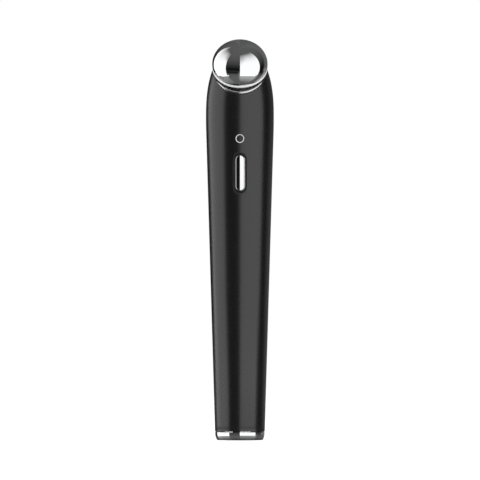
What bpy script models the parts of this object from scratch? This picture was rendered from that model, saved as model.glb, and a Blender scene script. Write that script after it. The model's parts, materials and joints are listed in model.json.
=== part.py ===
"""Galvanic eye massager: a slim tapered metal wand that stands on its tail.

A chromed dome, tilted forwards at the top, touches the skin. The front holds a lamp and a
button, and the tail unscrews to change the AAA cell. The wand's axis is the z axis, its front
faces -Y, and the origin is the centre of the tail's flat base. Lengths are in metres.
"""

import math

import bmesh
import bpy
from mathutils import Matrix, Vector

# Clearances
SEAT_GAP = 0.0003
FIT_GAP = 0.0001
RUNNING_GAP = 0.00006
CUT_OVERRUN = 0.002
MERGE_DISTANCE = 0.000001

# Fineness of round shapes
BODY_SEGMENTS = 40
HEAD_SEGMENTS = 32
SMALL_SEGMENTS = 16
TINY_SEGMENTS = 10
SHARP_ANGLE = math.radians(35)

# Sleeve: the taper rises from the tail to the crown, and the nose closes above it
SEAM_HEIGHT = 0.0028
TAPER_RISE = 0.00298
BLEND_LENGTH = 0.0056
NOSE_LENGTH = 0.0238
NOSE_POWER = 2.45
SLEEVE_WALL = 0.0011
SEAM_GAP = 0.0001

# Tilted head: its axis crosses the sleeve's cut plane above the motor's weight, at a share of
# the nose's length and in front of the wand's axis by a share of the crown's radius
HEAD_TILT = math.radians(45)
HEAD_ABOVE_WEIGHT = 0.00619
HEAD_HEIGHT_SHARE = 0.6277
HEAD_DEPTH_SHARE = 0.331
TRIM_WIDTH = 0.00032
TRIM_THICKNESS = 0.00028

# Dome, a flattened ball, and the collar that carries it
DOME_STEP = 0.00206
DOME_RISE = 0.00715
DOME_WALL = 0.0011
EQUATOR_LIFT = 0.00322
LIP_LIFT = 0.00042
LIP_ROUND = 0.00025
NECK_STEP = 0.0009
BEAD_WIDTH = 0.00083
BEAD_HEIGHT = 0.00012
SPIGOT_HEIGHT = 0.0017
SPIGOT_WALL = 0.0010
COLLAR_FLOOR = 0.0016
COLLAR_SINK = 0.0012
SKIRT_DEPTH = 0.0035
SKIRT_WALL = 0.0012
HEAD_SCREW_RADIUS = 0.0010
HEAD_SCREW_GRIP = 0.0040
BOSS_WALL = 0.0011
LUG_THICKNESS = 0.0004
LUG_RING_WIDTH = 0.0012
LUG_TAB_LENGTH = 0.0048
LUG_TAB_WIDTH = 0.0018

# Button, its seal and its pocket
BUTTON_ABOVE_BOARD_EDGE = 0.0217
BUTTON_WIDTH = 0.0030
BUTTON_LENGTH = 0.0117
BUTTON_CROWN_RADIUS = 0.0026
BUTTON_CROWN_SHARES = (1.0, 0.8, 0.55, 0.28, 0.0)
BUTTON_EDGE_DROP = 0.0001
BUTTON_TRAVEL = 0.0004
BUTTON_FLANGE_WIDTH = 0.0005
BUTTON_FLANGE_THICKNESS = 0.0004
POCKET_MARGIN = 0.00065
SEAL_GAP = 0.00012
SEAL_SINK = 0.0002
SEAL_FLANGE_WIDTH = 0.0005
SEAL_FLANGE_THICKNESS = 0.0004

# Lamp
LAMP_ABOVE_BUTTON = 0.0113
LAMP_RING_RADIUS = 0.00138
LAMP_RING_WALL = 0.00025
LAMP_RING_PROUD = 0.00006
PIPE_FLANGE_WIDTH = 0.0009
PIPE_FLANGE_THICKNESS = 0.0006
PIPE_FLANGE_SINK = 0.0002
LED_SIZE = 0.0016
LED_THICKNESS = 0.0008

# Circuit board and what it carries
BOARD_ROOM = 0.00228
BOARD_THICKNESS = 0.0010
BOARD_WIDTH = 0.0116
BOARD_MARGIN = 0.0022
BOARD_START = 0.0017
SWITCH_SIZE = 0.0045
SWITCH_THICKNESS = 0.0014
SWITCH_WELL_DEPTH = 0.0010
PLUNGER_RADIUS = 0.0010
CHIP_SIZE = 0.0050
CHIP_THICKNESS = 0.0010
CHIP_PLACE_SHARE = 0.65
COIL_RADIUS = 0.0022
COIL_THICKNESS = 0.0024
COIL_RIM = 0.0005
COIL_WAIST = 0.0006
COIL_PLACE_SHARE = 0.27
CAPACITOR_WIDTH = 0.0016
CAPACITOR_LENGTH = 0.0032
CAPACITOR_THICKNESS = 0.0016
CAPACITOR_OFFSET = 0.0042
LEAF_THICKNESS = 0.00025
LEAF_WIDTH = 0.0016
LEAF_LENGTH = 0.0070
LEAF_OFFSET = 0.0036
LEAF_TIP_DROP = 0.0012
LEAF_BEND_SHARE = 0.3
LEAF_PEAK_SHARE = 0.75
BOARD_SCREW_RADIUS = 0.0007
BOARD_SCREW_LENGTH = 0.0036

# Pan head screws, as shares of their shank's radius
SCREW_HEAD_SHARE = 1.85
SCREW_RISE_SHARE = 1.0
SCREW_TIP_SHARE = 0.6
SCREW_DOME_SHARE = 1.3

# Carrier frame
CARRIER_MARGIN = 0.0004
CARRIER_BACK = 0.0021
CARRIER_WALL = 0.0012
CARRIER_RIB = 0.0030
FOOT_THICKNESS = 0.0020
FOOT_MARGIN = 0.0006
CARRIER_SCREW_RADIUS = 0.0008
CARRIER_SCREW_GRIP = 0.0022
CARRIER_SCREW_OFFSET = 0.0033
CARRIER_SCREW_DEPTH = 0.0009

# Motor
MOTOR_RADIUS = 0.0030
MOTOR_LENGTH = 0.0085
MOTOR_START = 0.0016
BOOT_WALL = 0.0005
BOOT_FLOOR = 0.0005
BOOT_SHORTFALL = 0.0004
MOTOR_NOSE_RADIUS = 0.0010
MOTOR_NOSE_HEIGHT = 0.0005
SHAFT_RADIUS = 0.0004
SHAFT_BURIED = 0.0070
WEIGHT_RADIUS = 0.0027
WEIGHT_HUB_RADIUS = 0.0012
WEIGHT_HEIGHT = 0.0030
SHAFT_END = 0.0004
SADDLE_THICKNESS = 0.0012
SADDLE_SHARES = (0.25, 0.75)

# Wires
LEAD_RADIUS = 0.00035
HEAD_LEAD_OFFSET = 0.0044

# AAA cell and its bay
CELL_RADIUS = 0.00525
CELL_LENGTH = 0.0445
CELL_EDGE = 0.0004
NUB_RADIUS = 0.0019
NUB_HEIGHT = 0.0009
BAY_CLEARANCE = 0.00035
TUBE_WALL = 0.0011
TUBE_END_WALL = 0.0030
TUBE_FOOT_HEIGHT = 0.0020
SPRING_LENGTH = 0.0047
SPRING_RADIUS = 0.0032
SPRING_TIP_RADIUS = 0.0022
SPRING_WIRE_RADIUS = 0.0003
SPRING_TURNS = 4
PLATE_THICKNESS = 0.0004
PLATE_RADIUS = 0.0050
TAB_OFFSET = 0.0030
TAB_WIDTH = 0.0016
TAB_DEPTH = 0.0028

# Tail: bush, screw cap and its contact
BUSH_LENGTH = 0.00755
BUSH_CLEARANCE = 0.0007
BUSH_WALL = 0.00105
THREAD_PITCH = 0.0015
THREAD_DEPTH = 0.00045
THREAD_CLEARANCE = 0.00035
THREAD_LENGTH = 0.0030
THREAD_RINGS_PER_TURN = 5
THREAD_CREST_SHARE = 0.12
THREAD_FOOT_SHARE = 0.34
O_RING_THICKNESS = 0.0009
CAP_RECESS = 0.00005
CAP_EDGE_WIDTH = 0.00095
CAP_EDGE_HEIGHT = 0.0026
CAP_FLOOR = 0.0015
CAP_SPIGOT_LENGTH = 0.0053
CAP_CUP_WALL = 0.0014
CONTACT_SEAT = 0.0007
CONTACT_THICKNESS = 0.0005
CONTACT_DISH = 0.0006
CONTACT_DISH_RADIUS = 0.0022

# Places that follow from the sizes
CAP_SHOULDER = SEAM_HEIGHT - SEAM_GAP / 2
SLEEVE_BOTTOM = SEAM_HEIGHT + SEAM_GAP / 2
SPIGOT_TOP = CAP_SHOULDER + CAP_SPIGOT_LENGTH
BUSH_BOTTOM = CAP_SHOULDER + O_RING_THICKNESS + 2 * SEAT_GAP
BUSH_TOP = BUSH_BOTTOM + BUSH_LENGTH
BUSH_BORE = CELL_RADIUS + BUSH_CLEARANCE
SPIGOT_RADIUS = BUSH_BORE - THREAD_CLEARANCE
TAIL_RADIUS = BUSH_BORE + BUSH_WALL + FIT_GAP + SLEEVE_WALL
CROWN_RADIUS = TAIL_RADIUS + TAPER_RISE
DOME_RADIUS = CROWN_RADIUS - DOME_STEP
NECK_RADIUS = DOME_RADIUS - NECK_STEP
CONTACT_BOTTOM = SPIGOT_TOP - CONTACT_SEAT + FIT_GAP
CONTACT_TOP = CONTACT_BOTTOM + CONTACT_THICKNESS + CONTACT_DISH
CELL_BOTTOM = CONTACT_TOP + SEAT_GAP
CELL_TOP = CELL_BOTTOM + CELL_LENGTH
SPRING_BOTTOM = CELL_TOP + SEAT_GAP
SPRING_TOP = SPRING_BOTTOM + SPRING_LENGTH
PLATE_BOTTOM = SPRING_TOP + SEAT_GAP
BAY_TOP = PLATE_BOTTOM + PLATE_THICKNESS + FIT_GAP
BAY_RADIUS = CELL_RADIUS + BAY_CLEARANCE
TUBE_BOTTOM = BUSH_TOP + SEAT_GAP
TUBE_TOP = BAY_TOP + TUBE_END_WALL
TUBE_RADIUS = BAY_RADIUS + TUBE_WALL
FOOT_BOTTOM = TUBE_TOP + SEAT_GAP
FOOT_TOP = FOOT_BOTTOM + FOOT_THICKNESS
BOARD_BOTTOM = FOOT_TOP + BOARD_START
BUTTON_HEIGHT = BOARD_BOTTOM + BUTTON_ABOVE_BOARD_EDGE
LAMP_HEIGHT = BUTTON_HEIGHT + LAMP_ABOVE_BUTTON
BOARD_TOP = LAMP_HEIGHT + BOARD_MARGIN
SWITCH_FRONT = CROWN_RADIUS - SLEEVE_WALL - SEAL_FLANGE_THICKNESS - BUTTON_FLANGE_THICKNESS - BOARD_ROOM
BOARD_DEPTH = SWITCH_FRONT - SWITCH_THICKNESS
PART_DEPTH = BOARD_DEPTH + FIT_GAP
BOARD_BACK = BOARD_DEPTH - BOARD_THICKNESS
CARRIER_FRONT = BOARD_BACK - FIT_GAP
CARRIER_WIDTH = BOARD_WIDTH + 2 * CARRIER_MARGIN
FOOT_WIDTH = CARRIER_WIDTH + 2 * FOOT_MARGIN
LOWER_RIB = BOARD_BOTTOM + BOARD_MARGIN
UPPER_RIB = (BUTTON_HEIGHT + SWITCH_SIZE / 2 + LAMP_HEIGHT - LED_SIZE / 2) / 2
MOTOR_BOTTOM = BOARD_TOP + MOTOR_START
MOTOR_TOP = MOTOR_BOTTOM + MOTOR_LENGTH
BOOT_RADIUS = MOTOR_RADIUS + FIT_GAP + BOOT_WALL
MOTOR_DEPTH = BOOT_RADIUS + SEAT_GAP - (CARRIER_BACK - CARRIER_WALL)
CARRIER_TOP = MOTOR_TOP
WEIGHT_BOTTOM = MOTOR_TOP + MOTOR_NOSE_HEIGHT + SEAT_GAP
WEIGHT_TOP = WEIGHT_BOTTOM + WEIGHT_HEIGHT
HEAD_HEIGHT = WEIGHT_TOP + HEAD_ABOVE_WEIGHT
HEAD_DEPTH = CROWN_RADIUS * HEAD_DEPTH_SHARE
CROWN_HEIGHT = HEAD_HEIGHT - NOSE_LENGTH * HEAD_HEIGHT_SHARE
NOSE_TOP = CROWN_HEIGHT + NOSE_LENGTH


def outer_radius(height):
    """Radius of the sleeve's outside: a straight taper, a short blend and a rounded nose."""
    slope = (CROWN_RADIUS - TAIL_RADIUS) / (CROWN_HEIGHT - BLEND_LENGTH / 2 - SEAM_HEIGHT)
    if height <= CROWN_HEIGHT - BLEND_LENGTH:
        return TAIL_RADIUS + slope * (height - SEAM_HEIGHT)
    if height <= CROWN_HEIGHT:
        return CROWN_RADIUS - slope * (CROWN_HEIGHT - height) ** 2 / (2 * BLEND_LENGTH)
    share = (height - CROWN_HEIGHT) / (NOSE_TOP - CROWN_HEIGHT)
    return CROWN_RADIUS * math.sqrt(max(0.0, 1 - share ** NOSE_POWER))


def inner_radius(height):
    """Radius of the sleeve's inside below the nose."""
    return outer_radius(height) - SLEEVE_WALL


def material(name, colour, roughness, metallic):
    """Principled material with one plain colour."""
    made = bpy.data.materials.new(name)
    made.use_nodes = True
    shader = made.node_tree.nodes["Principled BSDF"]
    shader.inputs["Base Color"].default_value = (*colour, 1.0)
    shader.inputs["Roughness"].default_value = roughness
    shader.inputs["Metallic"].default_value = metallic
    made.diffuse_color = (*colour, 1.0)
    return made


def add_object(name, bm, surface=None, parent=None):
    """Object from a bmesh, shaded smooth between its sharp edges."""
    mesh = bpy.data.meshes.new(name)
    bm.to_mesh(mesh)
    bm.free()
    mesh.shade_smooth()
    mesh.set_sharp_from_angle(angle=SHARP_ANGLE)
    made = bpy.data.objects.new(name, mesh)
    bpy.context.scene.collection.objects.link(made)
    if surface is not None:
        mesh.materials.append(surface)
    made.parent = parent
    return made


def add_empty(name, location, turn=(0.0, 0.0, 0.0)):
    """Empty that carries pieces made in its own frame."""
    made = bpy.data.objects.new(name, None)
    bpy.context.scene.collection.objects.link(made)
    made.location = location
    made.rotation_euler = turn
    return made


def cut(target, tool, operation="DIFFERENCE"):
    """Boolean of a tool on its target. The tool stays hidden."""
    tool.hide_render = True
    tool.display_type = "WIRE"
    change = target.modifiers.new(tool.name, "BOOLEAN")
    change.operation = operation
    change.solver = "EXACT"
    change.object = tool


def turned(outline, segments):
    """Bmesh of an outline of (radius, height) points spun round the z axis.

    An outline that touches the axis gives a solid, and any other gives a ring.
    """
    bm = bmesh.new()
    verts = [bm.verts.new((radius, 0.0, height)) for radius, height in outline]
    pairs = zip(verts, verts[1:] + verts[:1])
    edges = [bm.edges.new(pair) for pair in pairs if max(pair[0].co.x, pair[1].co.x) > 0]
    bmesh.ops.spin(
        bm, geom=verts + edges, cent=(0, 0, 0), axis=(0, 0, 1), angle=math.tau, steps=segments
    )
    return cleaned(bm)


def cleaned(bm):
    """Bmesh with its doubled points merged and its faces turned outwards."""
    bmesh.ops.remove_doubles(bm, verts=bm.verts, dist=MERGE_DISTANCE)
    bmesh.ops.recalc_face_normals(bm, faces=bm.faces)
    return bm


def box(low, high):
    """Bmesh of a box between two corners."""
    centre = (Vector(low) + Vector(high)) / 2
    size = Vector(high) - Vector(low)
    bm = bmesh.new()
    bmesh.ops.create_cube(bm, size=1, matrix=Matrix.Translation(centre) @ Matrix.Diagonal((*size, 1)))
    return bm


def extruded(outline, low, high):
    """Bmesh of a flat (x, y) outline raised from one height to another."""
    bm = bmesh.new()
    face = bm.faces.new([bm.verts.new((x, y, low)) for x, y in outline])
    raised = bmesh.ops.extrude_face_region(bm, geom=[face])["geom"]
    top = [item for item in raised if isinstance(item, bmesh.types.BMVert)]
    bmesh.ops.translate(bm, verts=top, vec=(0, 0, high - low))
    return cleaned(bm)


def rows_joined(rows, ring):
    """Bmesh of equal closed rows of points, each row joined to the next.

    A ring also joins its last row to its first. Rows that collapse to a line close the shape.
    """
    bm = bmesh.new()
    made = [[bm.verts.new(point) for point in row] for row in rows]
    pairs = list(zip(made, made[1:] + made[:1]))
    for near, far in pairs if ring else pairs[:-1]:
        for index in range(len(near)):
            after = (index + 1) % len(near)
            bm.faces.new((near[index], near[after], far[after], far[index]))
    return cleaned(bm)


def pill(profile, spine, ring, follow=None):
    """Bmesh of a pill shape: (offset, rise) rows round a spine along y.

    follow gives the extra rise of the rows that follow it, at a place across and along the spine.
    """
    half = SMALL_SEGMENTS // 2
    directions = []
    for end in (1, -1):
        for step in range(half + 1):
            angle = math.pi * step / half
            directions.append((end * spine, end * math.cos(angle), end * math.sin(angle)))
    rows = []
    for offset, rise, follows in profile:
        row = []
        for start, across, along in directions:
            side = offset * across
            place = start + offset * along
            extra = follow(side, place) if follows else 0.0
            row.append((side, place, rise + extra))
        rows.append(row)
    return rows_joined(rows, ring)


def arc(centre, radii, start, end, steps):
    """Points of an ellipse's arc in an outline, from one angle to another, in degrees."""
    points = []
    for step in range(steps + 1):
        angle = math.radians(start + (end - start) * step / steps)
        points.append((centre[0] + radii[0] * math.cos(angle), centre[1] + radii[1] * math.sin(angle)))
    return points


def smooth_route(points, steps=4):
    """Points along a smooth curve through a route's own points."""
    route = [Vector(point) for point in points]
    padded = [2 * route[0] - route[1], *route, 2 * route[-1] - route[-2]]
    smooth = []
    for before, start, end, after in zip(padded, padded[1:], padded[2:], padded[3:]):
        for step in range(steps):
            share = step / steps
            bend = (2 * before - 5 * start + 4 * end - after) * share ** 2
            twist = (3 * start - before - 3 * end + after) * share ** 3
            smooth.append(start + ((end - before) * share + bend + twist) / 2)
    return smooth + [route[-1]]


def add_wire(name, points, radius, surface):
    """Round wire along a list of points, with filled ends."""
    curve = bpy.data.curves.new(name, "CURVE")
    curve.dimensions = "3D"
    curve.bevel_depth = radius
    curve.bevel_resolution = 1
    curve.use_fill_caps = True
    spline = curve.splines.new("POLY")
    spline.points.add(len(points) - 1)
    for target, point in zip(spline.points, points):
        target.co = (*point, 1.0)
    made = bpy.data.objects.new(name, curve)
    bpy.context.scene.collection.objects.link(made)
    curve.materials.append(surface)
    return made


def screw_outline(radius, grip):
    """Outline of a pan head screw whose head rests at height 0 and whose shank points down."""
    head = radius * SCREW_HEAD_SHARE
    rise = radius * SCREW_RISE_SHARE
    tip = radius * SCREW_TIP_SHARE
    return [
        (0.0, -grip),
        (tip, -grip),
        (radius, tip - grip),
        (radius, 0.0),
        (head, 0.0),
        (head, rise / 2),
        (radius * SCREW_DOME_SHARE, rise),
        (0.0, rise),
    ]


def sleeve_profile(bottom):
    """Outer outline of the sleeve from a height up to the nose's tip, as (radius, height) points."""
    blend_steps = 4
    nose_steps = 14
    heights = [bottom]
    for step in range(blend_steps):
        heights.append(CROWN_HEIGHT - BLEND_LENGTH * (1 - step / blend_steps))
    for step in range(nose_steps + 1):
        rise = math.sin(math.pi / 2 * step / nose_steps)
        heights.append(CROWN_HEIGHT + (NOSE_TOP - CROWN_HEIGHT) * rise)
    kept = [bottom] + [height for height in heights if height > bottom + MERGE_DISTANCE]
    points = [(outer_radius(height), height) for height in kept]
    points[-1] = (0.0, NOSE_TOP)
    return points


def inset(profile, depth):
    """Profile moved inwards by a depth, square to itself, and still ending on the axis."""
    moved = []
    for index, (radius, height) in enumerate(profile):
        before = profile[max(index - 1, 0)]
        after = profile[min(index + 1, len(profile) - 1)]
        run = Vector((after[0] - before[0], after[1] - before[1])).normalized()
        moved.append((max(radius - depth * run.y, 0.0), height + depth * run.x))
    moved[0] = (moved[0][0], profile[0][1])
    moved[-1] = (0.0, profile[-1][1] - depth)
    return moved


def head_slab(name, low, high, head):
    """Flat slab across the whole sleeve in the head's frame, between two lifts off the cut plane."""
    reach = NOSE_TOP
    return add_object(name, box((-reach, -reach, low), (reach, reach, high)), parent=head)


def add_sleeve(surface, head):
    """Tapered tube with its round nose cut off at a slant, its button pocket and its lamp hole."""
    outside = sleeve_profile(SLEEVE_BOTTOM)
    inside = inset(outside, SLEEVE_WALL)
    sleeve = add_object("body_sleeve", turned(outside + inside[::-1], BODY_SEGMENTS), surface)
    low = -TRIM_THICKNESS - FIT_GAP
    cut(sleeve, head_slab("sleeve_slant_cutter", low, NOSE_TOP, head))
    reach = CROWN_RADIUS + CUT_OVERRUN
    half_width = BUTTON_WIDTH / 2 + POCKET_MARGIN
    spine = (BUTTON_LENGTH - BUTTON_WIDTH) / 2
    profile = [(0.0, 0.0, False), (half_width, 0.0, False), (half_width, reach, False), (0.0, reach, False)]
    cut(sleeve, front_object("pocket_cutter", pill(profile, spine, False), BUTTON_HEIGHT))
    hole = LAMP_RING_RADIUS + FIT_GAP
    outline = [(0.0, 0.0), (hole, 0.0), (hole, reach), (0.0, reach)]
    cut(sleeve, front_object("lamp_hole_cutter", turned(outline, SMALL_SEGMENTS), LAMP_HEIGHT))
    return sleeve


def front_object(name, bm, height, surface=None, across=0.0):
    """Object whose own z axis points out of the wand's front, at a height on the wand."""
    made = add_object(name, bm, surface)
    made.location = (across, 0.0, height)
    made.rotation_euler = (math.pi / 2, 0.0, 0.0)
    return made


def add_trim_ring(surface, head):
    """Thin bright ring that follows the sleeve's slanted edge."""
    outside = sleeve_profile(CROWN_HEIGHT)
    inside = inset(outside, TRIM_WIDTH)
    ring = add_object("trim_ring", turned(outside + inside[::-1], BODY_SEGMENTS), surface)
    cut(ring, head_slab("trim_slab", -TRIM_THICKNESS, 0.0, head), "INTERSECT")
    return ring


def nose_core(name, depth, low, high, head):
    """Solid core of the nose, inset by a depth and kept between two lifts off the cut plane."""
    outline = [(0.0, CROWN_HEIGHT), *inset(sleeve_profile(CROWN_HEIGHT), depth)]
    core = add_object(name, turned(outline, BODY_SEGMENTS))
    cut(core, head_slab(name + "_slab", low, high, head), "INTERSECT")
    return core


def add_collar(surface, head):
    """Insulating collar: a plug in the sleeve's opening, a beaded neck and a spigot for the dome."""
    neck_top = LIP_LIFT - FIT_GAP
    bead_top = FIT_GAP + BEAD_HEIGHT
    spigot_radius = dome_inside_radius(LIP_LIFT) - SEAT_GAP - FIT_GAP
    spigot_bore = spigot_radius - SPIGOT_WALL
    spigot_top = neck_top + SPIGOT_HEIGHT
    floor_top = COLLAR_FLOOR - COLLAR_SINK
    root = math.sqrt(outer_radius(HEAD_HEIGHT) ** 2 - HEAD_DEPTH ** 2) - SLEEVE_WALL
    flange_top = FIT_GAP + BEAD_HEIGHT / 3
    hole = HEAD_SCREW_RADIUS + FIT_GAP
    outline = [
        (hole, -COLLAR_SINK / 2),
        (root, -COLLAR_SINK / 2),
        (root, FIT_GAP),
        (NECK_RADIUS + BEAD_WIDTH, FIT_GAP),
        (NECK_RADIUS + BEAD_WIDTH, bead_top),
        (NECK_RADIUS, bead_top + BEAD_HEIGHT / 2),
        (NECK_RADIUS, neck_top),
        (spigot_radius, neck_top),
        (spigot_radius, spigot_top),
        (spigot_bore, spigot_top),
        (spigot_bore, floor_top),
        (hole, floor_top),
    ]
    collar = add_object("head_collar", turned(outline, HEAD_SEGMENTS), surface, head)
    flange_inset = TRIM_WIDTH + FIT_GAP
    flange = nose_core("collar_flange", flange_inset, -TRIM_THICKNESS, flange_top, head)
    skirt_inset = SLEEVE_WALL + SEAT_GAP
    skirt = nose_core("collar_skirt", skirt_inset, -SKIRT_DEPTH, -TRIM_THICKNESS / 2, head)
    hollow_inset = skirt_inset + SKIRT_WALL
    hollow = nose_core("collar_hollow", hollow_inset, -SKIRT_DEPTH - CUT_OVERRUN, -COLLAR_SINK, head)
    low = -COLLAR_SINK - CUT_OVERRUN
    high = floor_top + CUT_OVERRUN
    bore = [(0.0, low), (hole, low), (hole, high), (0.0, high)]
    cut(collar, flange, "UNION")
    cut(collar, skirt, "UNION")
    cut(collar, hollow)
    cut(collar, add_object("collar_bore", turned(bore, TINY_SEGMENTS), parent=head))
    return collar


def dome_inside_radius(lift):
    """Radius of the dome's hollow at a lift off the cut plane."""
    share = (lift - EQUATOR_LIFT) / (DOME_RISE - DOME_WALL)
    return (DOME_RADIUS - DOME_WALL) * math.sqrt(1 - share ** 2)


def add_dome(surface, head):
    """Hollow flattened ball, open below, with a rounded lip and a threaded boss inside."""
    outer_steps = 12
    inner_steps = 6
    lip_start = math.degrees(math.asin((LIP_LIFT + LIP_ROUND - EQUATOR_LIFT) / DOME_RISE))
    outside = arc((0.0, EQUATOR_LIFT), (DOME_RADIUS, DOME_RISE), 90, lip_start, outer_steps)
    outside[0] = (0.0, outside[0][1])
    lip = (outside[-1][0] - LIP_ROUND, LIP_LIFT)
    hollow_radii = (DOME_RADIUS - DOME_WALL, DOME_RISE - DOME_WALL)
    hollow_start = math.degrees(math.asin((LIP_LIFT - EQUATOR_LIFT) / hollow_radii[1]))
    boss = HEAD_SCREW_RADIUS + FIT_GAP + BOSS_WALL
    hollow_end = math.degrees(math.acos(boss / hollow_radii[0]))
    inside = arc((0.0, EQUATOR_LIFT), hollow_radii, hollow_start, hollow_end, inner_steps)
    boss_bottom = COLLAR_FLOOR - COLLAR_SINK + SEAT_GAP
    bore = HEAD_SCREW_RADIUS + FIT_GAP
    bore_top = boss_bottom + HEAD_SCREW_GRIP
    hollow = [*inside, (boss, boss_bottom), (bore, boss_bottom), (bore, bore_top), (0.0, bore_top)]
    outline = [*outside, lip, *hollow]
    return add_object("head_electrode", turned(outline, HEAD_SEGMENTS), surface, head)


def add_head_screw(surface, head):
    """Screw that reaches from below the collar's floor into the dome's boss."""
    clear = LUG_THICKNESS + 2 * FIT_GAP
    outline = screw_outline(HEAD_SCREW_RADIUS, clear + COLLAR_FLOOR + HEAD_SCREW_GRIP)
    flipped = [(radius, -COLLAR_SINK - clear - height) for radius, height in outline]
    return add_object("head_screw", turned(flipped, SMALL_SEGMENTS), surface, head)


def add_head_lug(surface, head):
    """Ring terminal between the head screw and the collar's floor, with a tab to one side."""
    top = -COLLAR_SINK - FIT_GAP
    bottom = top - LUG_THICKNESS
    hole = HEAD_SCREW_RADIUS + FIT_GAP
    rim = hole + LUG_RING_WIDTH
    ring = turned([(hole, bottom), (rim, bottom), (rim, top), (hole, top)], SMALL_SEGMENTS)
    lug = add_object("head_lug", ring, surface, head)
    half = LUG_TAB_WIDTH / 2
    tab = box((hole + LUG_RING_WIDTH / 2, -half, bottom), (LUG_TAB_LENGTH, half, top))
    cut(lug, add_object("lug_tab", tab, parent=head), "UNION")
    return lug


def add_button(surface, axis):
    """Pill button, its front arched across its width, and a hidden flange that keeps it in."""
    half_width = BUTTON_WIDTH / 2
    spine = (BUTTON_LENGTH - BUTTON_WIDTH) / 2
    edge = outer_radius(BUTTON_HEIGHT) - BUTTON_EDGE_DROP
    flange = half_width + BUTTON_FLANGE_WIDTH
    flange_top = seal_front() - SEAL_FLANGE_THICKNESS - FIT_GAP
    flange_bottom = flange_top - BUTTON_FLANGE_THICKNESS
    profile = [(0.0, flange_bottom, False), (flange, flange_bottom, False), (flange, flange_top, False)]
    profile.append((half_width, flange_top, False))
    for share in BUTTON_CROWN_SHARES:
        profile.append((half_width * share, edge, True))
    return add_object("power_button", pill(profile, spine, False, button_arch), surface, axis)


def button_arch(across, along):
    """Rise of the button's arched front over its side edges, on top of the sleeve's taper."""
    arch = math.sqrt(BUTTON_CROWN_RADIUS ** 2 - across ** 2)
    side = math.sqrt(BUTTON_CROWN_RADIUS ** 2 - (BUTTON_WIDTH / 2) ** 2)
    return front_taper(across, along) + arch - side


def front_taper(across, along):
    """Rise of the sleeve's front at a place along the button, the same all across it."""
    return outer_radius(BUTTON_HEIGHT + along) - outer_radius(BUTTON_HEIGHT)


def seal_front():
    """Depth of the seal flange's front face, just inside the wall at the flange's lower corners."""
    spine = (BUTTON_LENGTH - BUTTON_WIDTH) / 2
    flange = BUTTON_WIDTH / 2 + POCKET_MARGIN - FIT_GAP + SEAL_FLANGE_WIDTH
    return math.sqrt(inner_radius(BUTTON_HEIGHT - spine) ** 2 - flange ** 2) - SEAT_GAP


def add_seal(surface):
    """Soft sleeve between the button and its pocket, with a flange inside the wall."""
    spine = (BUTTON_LENGTH - BUTTON_WIDTH) / 2
    bore = BUTTON_WIDTH / 2 + SEAL_GAP
    neck = BUTTON_WIDTH / 2 + POCKET_MARGIN - FIT_GAP
    flange = neck + SEAL_FLANGE_WIDTH
    front = seal_front()
    bottom = front - SEAL_FLANGE_THICKNESS
    top = outer_radius(BUTTON_HEIGHT) - SEAL_SINK - BUTTON_EDGE_DROP
    profile = [
        (bore, bottom, False),
        (flange, bottom, False),
        (flange, front, False),
        (neck, front, False),
        (neck, top, True),
        (bore, top, True),
    ]
    return front_object("button_seal", pill(profile, spine, True, front_taper), BUTTON_HEIGHT, surface)


def add_lamp(ring_surface, pipe_surface):
    """Bright ring in the sleeve's hole, and the light pipe that fills it and leads to the LED."""
    wall_inside = inner_radius(LAMP_HEIGHT)
    front = outer_radius(LAMP_HEIGHT)
    bore = LAMP_RING_RADIUS - LAMP_RING_WALL
    top = front + LAMP_RING_PROUD
    ring = [(bore, wall_inside), (LAMP_RING_RADIUS, wall_inside), (LAMP_RING_RADIUS, top), (bore, top)]
    front_object("indicator_ring", turned(ring, SMALL_SEGMENTS), LAMP_HEIGHT, ring_surface)
    shank = bore - FIT_GAP
    flange = shank + PIPE_FLANGE_WIDTH
    flange_top = wall_inside - PIPE_FLANGE_SINK - FIT_GAP
    flange_bottom = flange_top - PIPE_FLANGE_THICKNESS
    tail = PART_DEPTH + LED_THICKNESS + SEAT_GAP
    pipe = [
        (0.0, tail),
        (shank, tail),
        (shank, flange_bottom),
        (flange, flange_bottom),
        (flange, flange_top),
        (shank, flange_top),
        (shank, front),
        (0.0, front),
    ]
    front_object("light_pipe", turned(pipe, SMALL_SEGMENTS), LAMP_HEIGHT, pipe_surface)


def board_part(name, width, length, thickness, height, surface, across=0.0):
    """Plain block on the board's front face."""
    low = (-width / 2, -length / 2, PART_DEPTH)
    high = (width / 2, length / 2, PART_DEPTH + thickness)
    return front_object(name, box(low, high), height, surface, across)


def add_board(surface):
    """Circuit board with its two screw holes."""
    middle = (BOARD_BOTTOM + BOARD_TOP) / 2
    half = (BOARD_TOP - BOARD_BOTTOM) / 2
    low = (-BOARD_WIDTH / 2, -half, BOARD_BACK)
    board = front_object("circuit_board", box(low, (BOARD_WIDTH / 2, half, BOARD_DEPTH)), middle, surface)
    for number, height in enumerate((LOWER_RIB, UPPER_RIB), 1):
        cut(board, screw_hole(f"board_hole_{number}", BOARD_SCREW_RADIUS, height, 0.0))
    return board


def screw_hole(name, radius, height, bottom):
    """Round cutter along the wand's depth for a screw at a height."""
    hole = radius + FIT_GAP
    top = BOARD_DEPTH + CUT_OVERRUN
    outline = [(0.0, bottom), (hole, bottom), (hole, top), (0.0, top)]
    return front_object(name, turned(outline, TINY_SEGMENTS), height)


def add_board_screws(surface):
    """Two screws through the board into the carrier's ribs."""
    outline = screw_outline(BOARD_SCREW_RADIUS, BOARD_SCREW_LENGTH)
    placed = [(radius, rise + PART_DEPTH) for radius, rise in outline]
    for number, height in enumerate((LOWER_RIB, UPPER_RIB), 1):
        front_object(f"board_screw_{number}", turned(placed, TINY_SEGMENTS), height, surface)


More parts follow.
